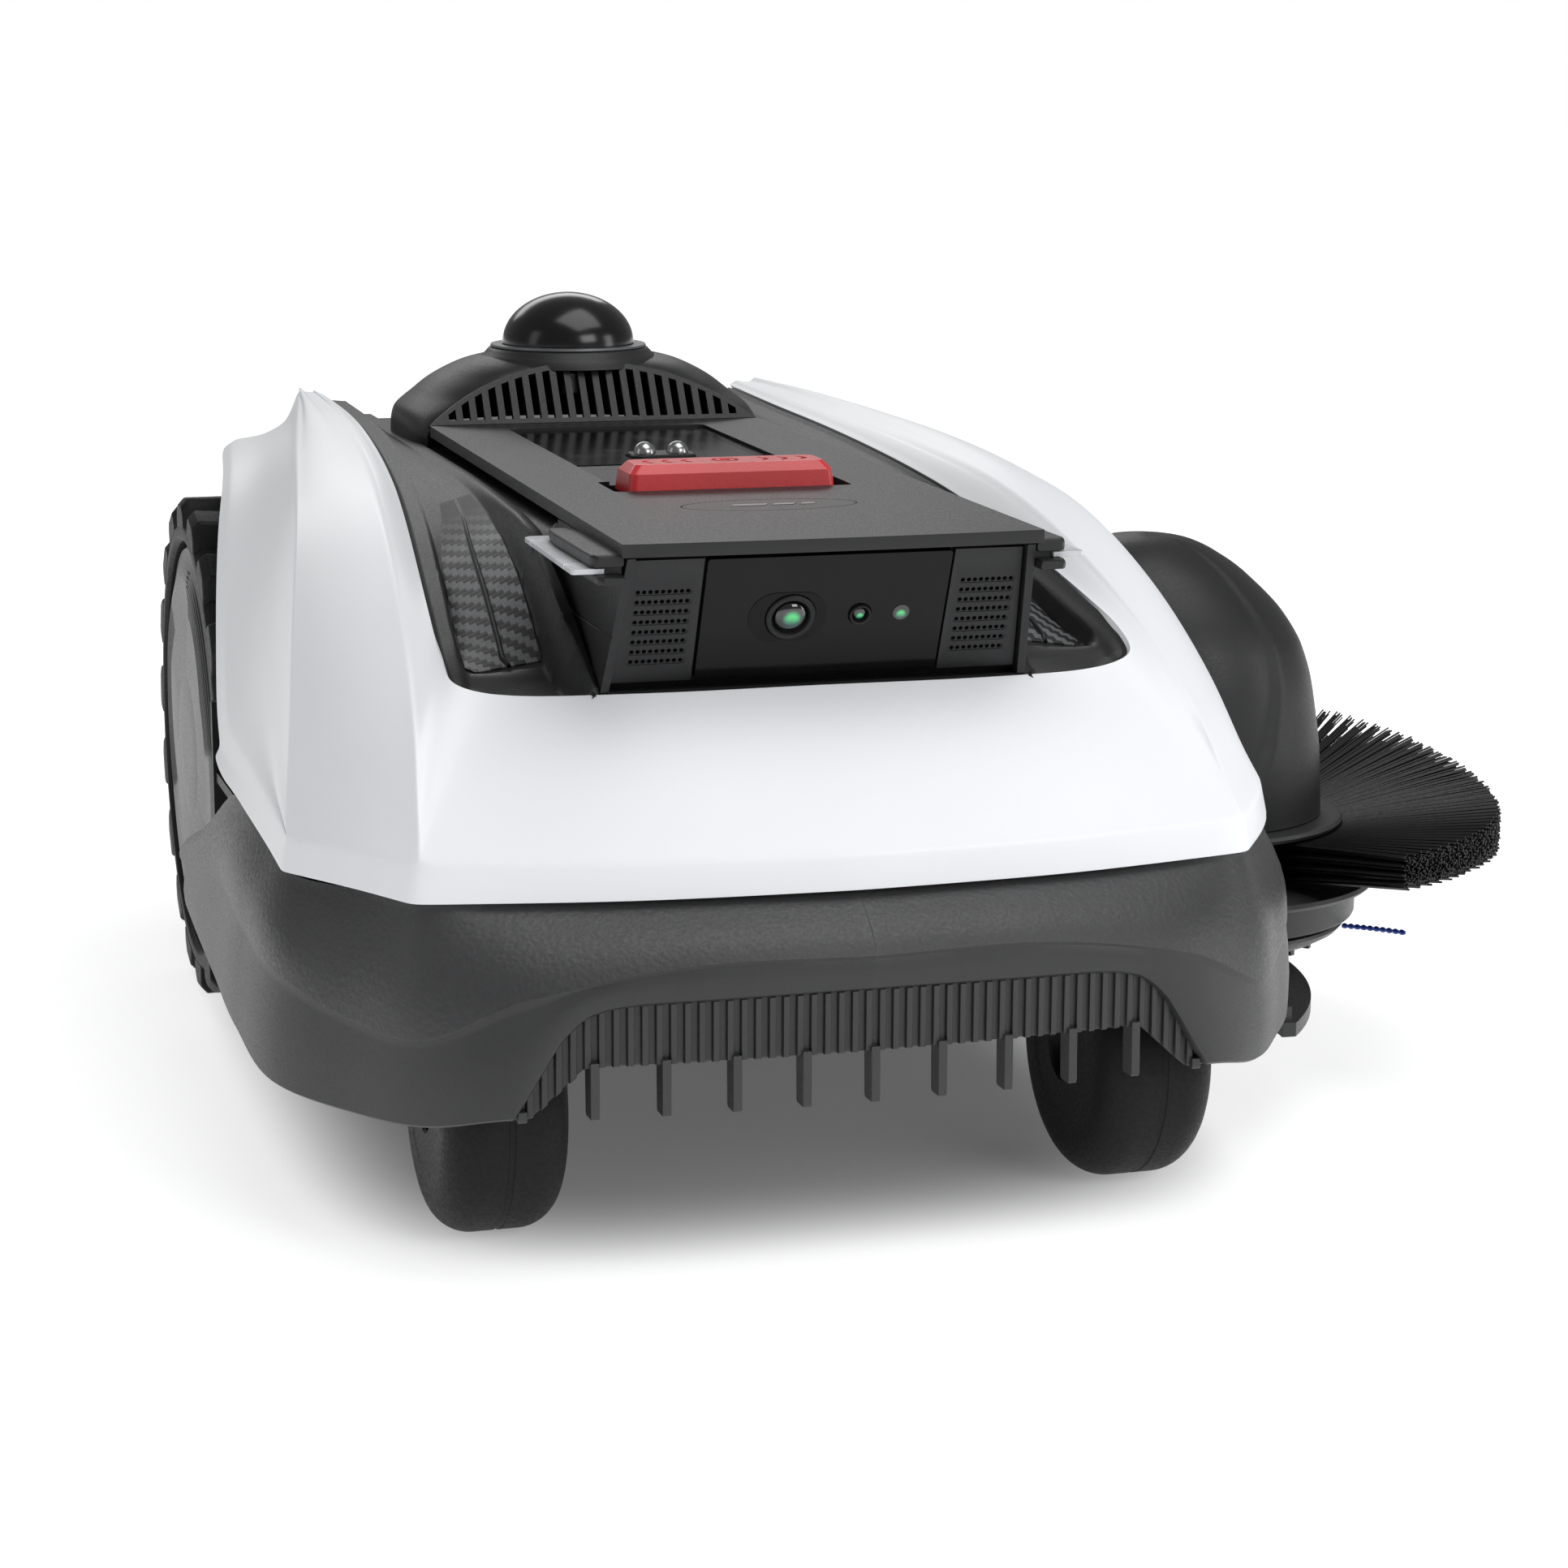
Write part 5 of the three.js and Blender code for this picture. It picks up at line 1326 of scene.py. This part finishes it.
def trimmer_frame():
    """Flange, scooped bracket, lower plate and the skirt round the spool head."""
    def ring(profile):
        return turned(profile + profile[:1], 120).shifted(TRIM_X, TRIM_Y, 0)

    flange = ring([(4, 97.2), (61, 97.2), (63.2, 97.8), (64, 99.2), (63.2, 100.5), (61, 101), (4, 101)])
    plate = ring([(4, 72), (66.5, 72), (66.5, 61.5), (67.5, 60.5), (69.4, 60.7), (70, 62), (70, 73),
                  (76.5, 73.2),
                  (78, 74.8), (77.4, 76.4), (75.5, 77), (4, 77)])
    keep = block(FLANK_X, 320, -40, 220, 40, 120)
    parts = []
    for name, mesh in (("flange", flange), ("lower", plate)):
        obj = as_object(name, mesh, [WHEEL])
        carve(obj, keep, operation="INTERSECT")
        parts.append(obj)
    scoop = [(33, 100.9), (34.5, 97.0), (40, 93.5), (48, 89.5), (52, 84.5), (52, 80.5), (47.5, 77.6),
             (40, 75.6), (34, 73.6),
             (146, 73.6), (146, 100.9)]
    web = Mesh()
    web.grid([[(x, y, z) for y, z in scoop] for x in (FLANK_X, FLANK_X + 2)], wrap_columns=True, caps=True)
    fin = as_object("web", web, [WHEEL])
    parts.append(fin)
    made = bmesh.new()
    for obj in parts:
        made.from_mesh(obj.data)
        bpy.data.objects.remove(obj)
    data = bpy.data.meshes.new("trimmer_bracket")
    made.to_mesh(data)
    made.free()
    data.materials.append(WHEEL)
    obj = linked("trimmer_bracket", data)
    finish(obj, "trimmer_frame", angle=30)


def brush_tip(angle):
    """The lowest and the highest bristle tip on a bearing, and how far out they are."""
    low = float(np.interp(angle, [-1.25, -0.3, 0.65, 1.2], [93.5, 92, 94, 95]))
    high = float(np.interp(angle, [-1.25, -0.3, -0.1, 0.65, 1.2], [104, 105, 108, 121, 122]))
    return low, high, float(np.interp(angle, [-1.25, -0.9], [129.0, 127.0]))


def brush():
    """Tufts of straight black bristles, fanned out in layers between the two plates."""
    mesh = Mesh()
    first, last, tufts, layers, bristles = -1.25, 1.17, 46, 7, 9
    sides = 4
    for layer in range(layers):
        height = layer / (layers - 1)
        for i in range(tufts + 1):
            angle = lerp(first, last, (i + 0.5 * (layer % 2)) / (tufts + 0.5))
            low, high, reach = brush_tip(angle)
            tip = np.array((reach * math.cos(angle), reach * math.sin(angle), lerp(low, high, height)))
            root_angle = lerp(angle, (first + last) / 2, 0.08)
            root = np.array((54 * math.cos(root_angle), 54 * math.sin(root_angle), lerp(80.5, 94.5, height)))
            along = (tip - root) / np.linalg.norm(tip - root)
            across = np.cross(along, (0, 0, 1))
            across /= np.linalg.norm(across)
            over = np.cross(across, along)
            for b in range(bristles):
                spin = 2.4 * b
                spread = 0.55 * math.sqrt(b)
                offset = across * spread * math.cos(spin) + over * spread * math.sin(spin)
                end = tip + offset * 1.2 - along * RANDOM.uniform(0, 1.6) + across * RANDOM.uniform(-0.35,
                                                                                                    0.35)
                start = root + offset * 0.75
                radius = RANDOM.uniform(0.42, 0.56)
                loops = []
                for point, size in ((start, radius), (lerp(start, end, 0.5) + over * 0.2, radius),
                                    (end, radius * 0.9)):
                    loops.append([point + size * (across * math.cos(a) + over * math.sin(a))
                                  for a in (2 * math.pi * k / sides for k in range(sides))])
                mesh.grid(loops, wrap_columns=True, caps=True)
    mesh.shifted(TRIM_X, TRIM_Y, 0)
    obj = as_object("bristles", mesh, [BRISTLE], 0.001)
    finish(obj, "brush_ring", angle=80)
    core = []
    for i in range(33):
        angle = lerp(first + 0.14, last - 0.02, i / 32)
        top = lerp(94.5, brush_tip(angle)[1], 0.5) - 3.5
        core.append([(r * math.cos(angle) + TRIM_X, r * math.sin(angle) + TRIM_Y, z) for r, z in
                     ((30, 81.5), (58, 82.5), (92, 90.5), (92, top), (66, 93.5), (30, 93.5))])
    bed = Mesh().grid(core, wrap_columns=True, caps=True)
    under = as_object("bristle_bed", bed, [BRISTLE])
    finish(under)


def spool_and_line():
    profile = [(0, 49), (18, 49), (20, 47.9), (33, 47.9), (35, 49), (50, 49.2), (58, 51.2), (64, 54.6),
               (66, 57), (65.6, 58.2),
               (60, 58.4), (58, 57.2), (8, 57.2), (8, 60), (2.6, 60), (2.6, 103.5), (0, 103.5)]
    bowl = turned(profile, 96)
    spokes(bowl, 24, 40, 56, -1.3, 1.3, 48.4, 51.2)
    bowl.shifted(TRIM_X, TRIM_Y, 0)
    piece("spool_cover", bowl, [WHEEL], "spool_head", angle=30)
    line = Mesh()
    turns, steps = 5.0, 80
    for strand in (0, math.pi):
        rings = []
        for i in range(steps + 1):
            t = i / steps
            reach = lerp(66.2, 92, t)
            spin = 2 * math.pi * turns * t + strand
            cy, cz = 0.55 * math.cos(spin), 0.55 * math.sin(spin) - 0.9 * t * t
            rings.append([(reach, cy + 0.62 * math.cos(a), cz + 0.62 * math.sin(a))
                          for a in (2 * math.pi * k / 8 for k in range(8))])
        line.grid(rings, wrap_columns=True, caps=True)
    line.moved(Matrix.Translation((TRIM_X, TRIM_Y, 56.3)) @ Matrix.Rotation(LINE_ANGLE, 4, "Z"))
    piece("twisted_line", line, [BLUE], "trim_line", angle=60)


trimmer_housing()
trimmer_frame()
brush()
spool_and_line()
refined("line_guard", WHEEL, 0.8, 3)
refined("trimmer_motor", MOTOR, 0.6)


# ------------------------------------------------------------------ rear casing
# The casing's outline level by level: height, half width and how far back it reaches.
REAR_LEVELS = [
    (235.6, 112, 401.5), (233, 120, 404.5), (226, 124.5, 407.5), (212, 125.6, 409.5), (170, 125.8, 411.5),
    (130, 125.8, 411.5), (98, 125.6, 410), (80, 125.2, 406), (68, 124.4, 401),
]
REAR_CORNER, REAR_FRONT = 16.0, 372.0


def rear_casing():
    """A crowned sheet round the back of the tub, under the upper shell, with a window for the socket."""
    rows = []
    for z, half, back in REAR_LEVELS:
        corner = [(half - REAR_CORNER + REAR_CORNER * math.cos(a), back - REAR_CORNER
                   + REAR_CORNER * math.sin(a))
                  for a in np.linspace(0, math.pi / 2, 9)]
        right = [(half, REAR_FRONT), (half, REAR_FRONT + 8), *corner]
        across = [(x, back + 1.2 * (1 - (x / half) ** 2)) for x in np.linspace(half - REAR_CORNER - 6, 0, 8)]
        outline = right + across
        rows.append([(x, y, z) for x, y in outline + [(-x, y) for x, y in reversed(outline[:-1])]])
    mesh = Mesh().grid(rows)
    obj = as_object("rear_casing", mesh, [BLACK])
    face_along(obj, 1)
    solid(obj, 2.4, levels=1, crease=0.3)
    low, high = (Vector(corner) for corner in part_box("charging_socket"))
    gap, shift = 2.0, Vector(SHIFT)
    low, high = (low - shift) / MM, (high - shift) / MM
    carve(obj, block(low.x - gap, high.x + gap, low.y - 20, high.y + 20, low.z - gap, high.z + gap))
    shallow = Mesh()
    for z in (206.0, 112.0):
        block(-96, 96, 409.6, 430, z, z + 1.2, mesh=shallow)
    carve(obj, shallow)
    finish(obj, angle=50)


rear_casing()


# ------------------------------------------------------------------ chassis, cutting deck and inner parts
refined("chassis", DEEP, 0.8)
refined("deck_carrier", DEEP, 0.7)
refined("battery_pack", CELL, 2.0, 3)
refined("main_board", BOARD, 0.2, 1)
refined("charging_socket", STEEL, 0.8)
for word in ("left", "right"):
    refined(f"drive_motor_{word}", MOTOR, 0.8)
    refined(f"blade_motor_{word}", MOTOR, 1.0)
    refined(f"blade_disc_{word}", WHEEL, 0.6)
    for index in (1, 2, 3):
        refined(f"blade_{word}_{index}", BLADE, 0.25, 1)


# ------------------------------------------------------------------ camera, floor and light
CAMERA_AT = place((-351.48, -1219.03, 407.03))
CAMERA_YAW, CAMERA_PITCH, CAMERA_ROLL = math.radians(16.370), math.radians(11.887), math.radians(0.261)
CAMERA_LENS, SENSOR = 81.05, 36.0


def make_camera():
    ahead = Vector((math.sin(CAMERA_YAW) * math.cos(CAMERA_PITCH),
                    math.cos(CAMERA_YAW) * math.cos(CAMERA_PITCH),
                    -math.sin(CAMERA_PITCH)))
    level = Vector((math.cos(CAMERA_YAW), -math.sin(CAMERA_YAW), 0))
    up = level.cross(ahead)
    right = math.cos(CAMERA_ROLL) * level + math.sin(CAMERA_ROLL) * up
    up = math.cos(CAMERA_ROLL) * up - math.sin(CAMERA_ROLL) * level
    data = bpy.data.cameras.new("camera")
    data.lens, data.sensor_width = CAMERA_LENS, SENSOR
    data.clip_end = 50
    camera = linked("camera", data)
    turn = Matrix((right, up, -ahead)).transposed().to_4x4()
    camera.matrix_world = Matrix.Translation(Vector(CAMERA_AT)) @ turn
    bpy.context.scene.camera = camera


# Half the shaded ground's width and length, in metres, and the studio air's strength as a light.
FOOTPRINT = (0.18, 0.235)
AMBIENT = 0.24


def make_floor():
    material, tree, shader, where = new_material("studio_floor")
    cloud = node(tree, "ShaderNodeTexNoise", Vector=where, Scale=3.0, Detail=3.0).outputs["Fac"]
    tint = mix_colour(tree, cloud, (0.5, 0.503, 0.508, 1), (0.515, 0.518, 0.522, 1))
    connect(tree, shader, Base_Color=tint)
    connect(tree, shader, Roughness=0.85, Specular_IOR_Level=0.1)
    # Painted light: the floor glows more and more away from the body and hardly at all under it, which paints
    # a shadow there; the glow has no far edge.
    middle = place((0, 118, 0))
    axes = node(tree, "ShaderNodeSeparateXYZ", Vector=where).outputs
    reach_x = math_node(tree, "DIVIDE", math_node(tree, "SUBTRACT", axes[0], middle[0]), FOOTPRINT[0])
    reach_y = math_node(tree, "DIVIDE", math_node(tree, "SUBTRACT", axes[1], middle[1]), FOOTPRINT[1])
    away = math_node(tree, "ADD", math_node(tree, "POWER", math_node(tree, "ABSOLUTE", reach_x), 4.0),
                     math_node(tree, "POWER", math_node(tree, "ABSOLUTE", reach_y), 4.0))
    near = ramp(tree, away, 0.15, 1.1, 0.1, 0.74)
    # Painted glow and painted shadow: emission strength rises with distance from the body's footprint.
    painted_glow = math_node(tree, "ADD", near, ramp(tree, away, 1.0, 60.0, 0.0, 0.22))
    connect(tree, shader, Emission_Color=(1, 1, 1, 1), Emission_Strength=painted_glow)
    reach = 14000.0
    floor = Mesh().grid([[(x, y, -0.3) for x in (-reach, reach)] for y in (reach, -reach)])
    obj = as_object("studio_floor", floor, [material], 0.01, recalculate=False)
    if obj.data.polygons[0].normal.z < 0:
        obj.data.flip_normals()


def softbox(name, at, aim, size, watts):
    data = bpy.data.lights.new(name, "AREA")
    data.shape, data.size, data.size_y = "RECTANGLE", *size
    data.energy = watts
    lamp = linked(name, data)
    lamp.location = at
    lamp.rotation_euler = (Vector(aim) - Vector(at)).to_track_quat("-Z", "Y").to_euler()


def make_world():
    """White studio air: bright to the eye, dimmer as a light, so that the soft lamps can shape the object."""
    world = bpy.data.worlds.new("studio")
    world.use_nodes = True
    tree = world.node_tree
    back = tree.nodes["Background"]
    back.inputs["Color"].default_value = (1.0, 1.0, 1.0, 1)
    seen = tree.nodes.new("ShaderNodeLightPath").outputs["Is Camera Ray"]
    tree.links.new(ramp(tree, seen, 0.0, 1.0, AMBIENT, 1.0), back.inputs["Strength"])
    bpy.context.scene.world = world


make_camera()
make_floor()
make_world()
softbox("overhead", (0.35, -0.45, 2.1), (0, 0, 0.1), (1.7, 1.7), 25)
softbox("front_right", (1.0, -2.2, 1.2), (0, -0.1, 0.12), (1.2, 0.9), 17)
softbox("right_strip", (1.7, -0.7, 0.55), (0, 0.1, 0.2), (0.5, 0.9), 5)
softbox("left_strip", (-1.7, -0.2, 0.8), (0, 0.1, 0.2), (0.45, 1.0), 1.5)
softbox("rear_strip", (0.0, 2.0, 1.2), (0, 0.1, 0.2), (1.8, 0.5), 8)
bpy.context.scene.view_settings.view_transform = "Standard"
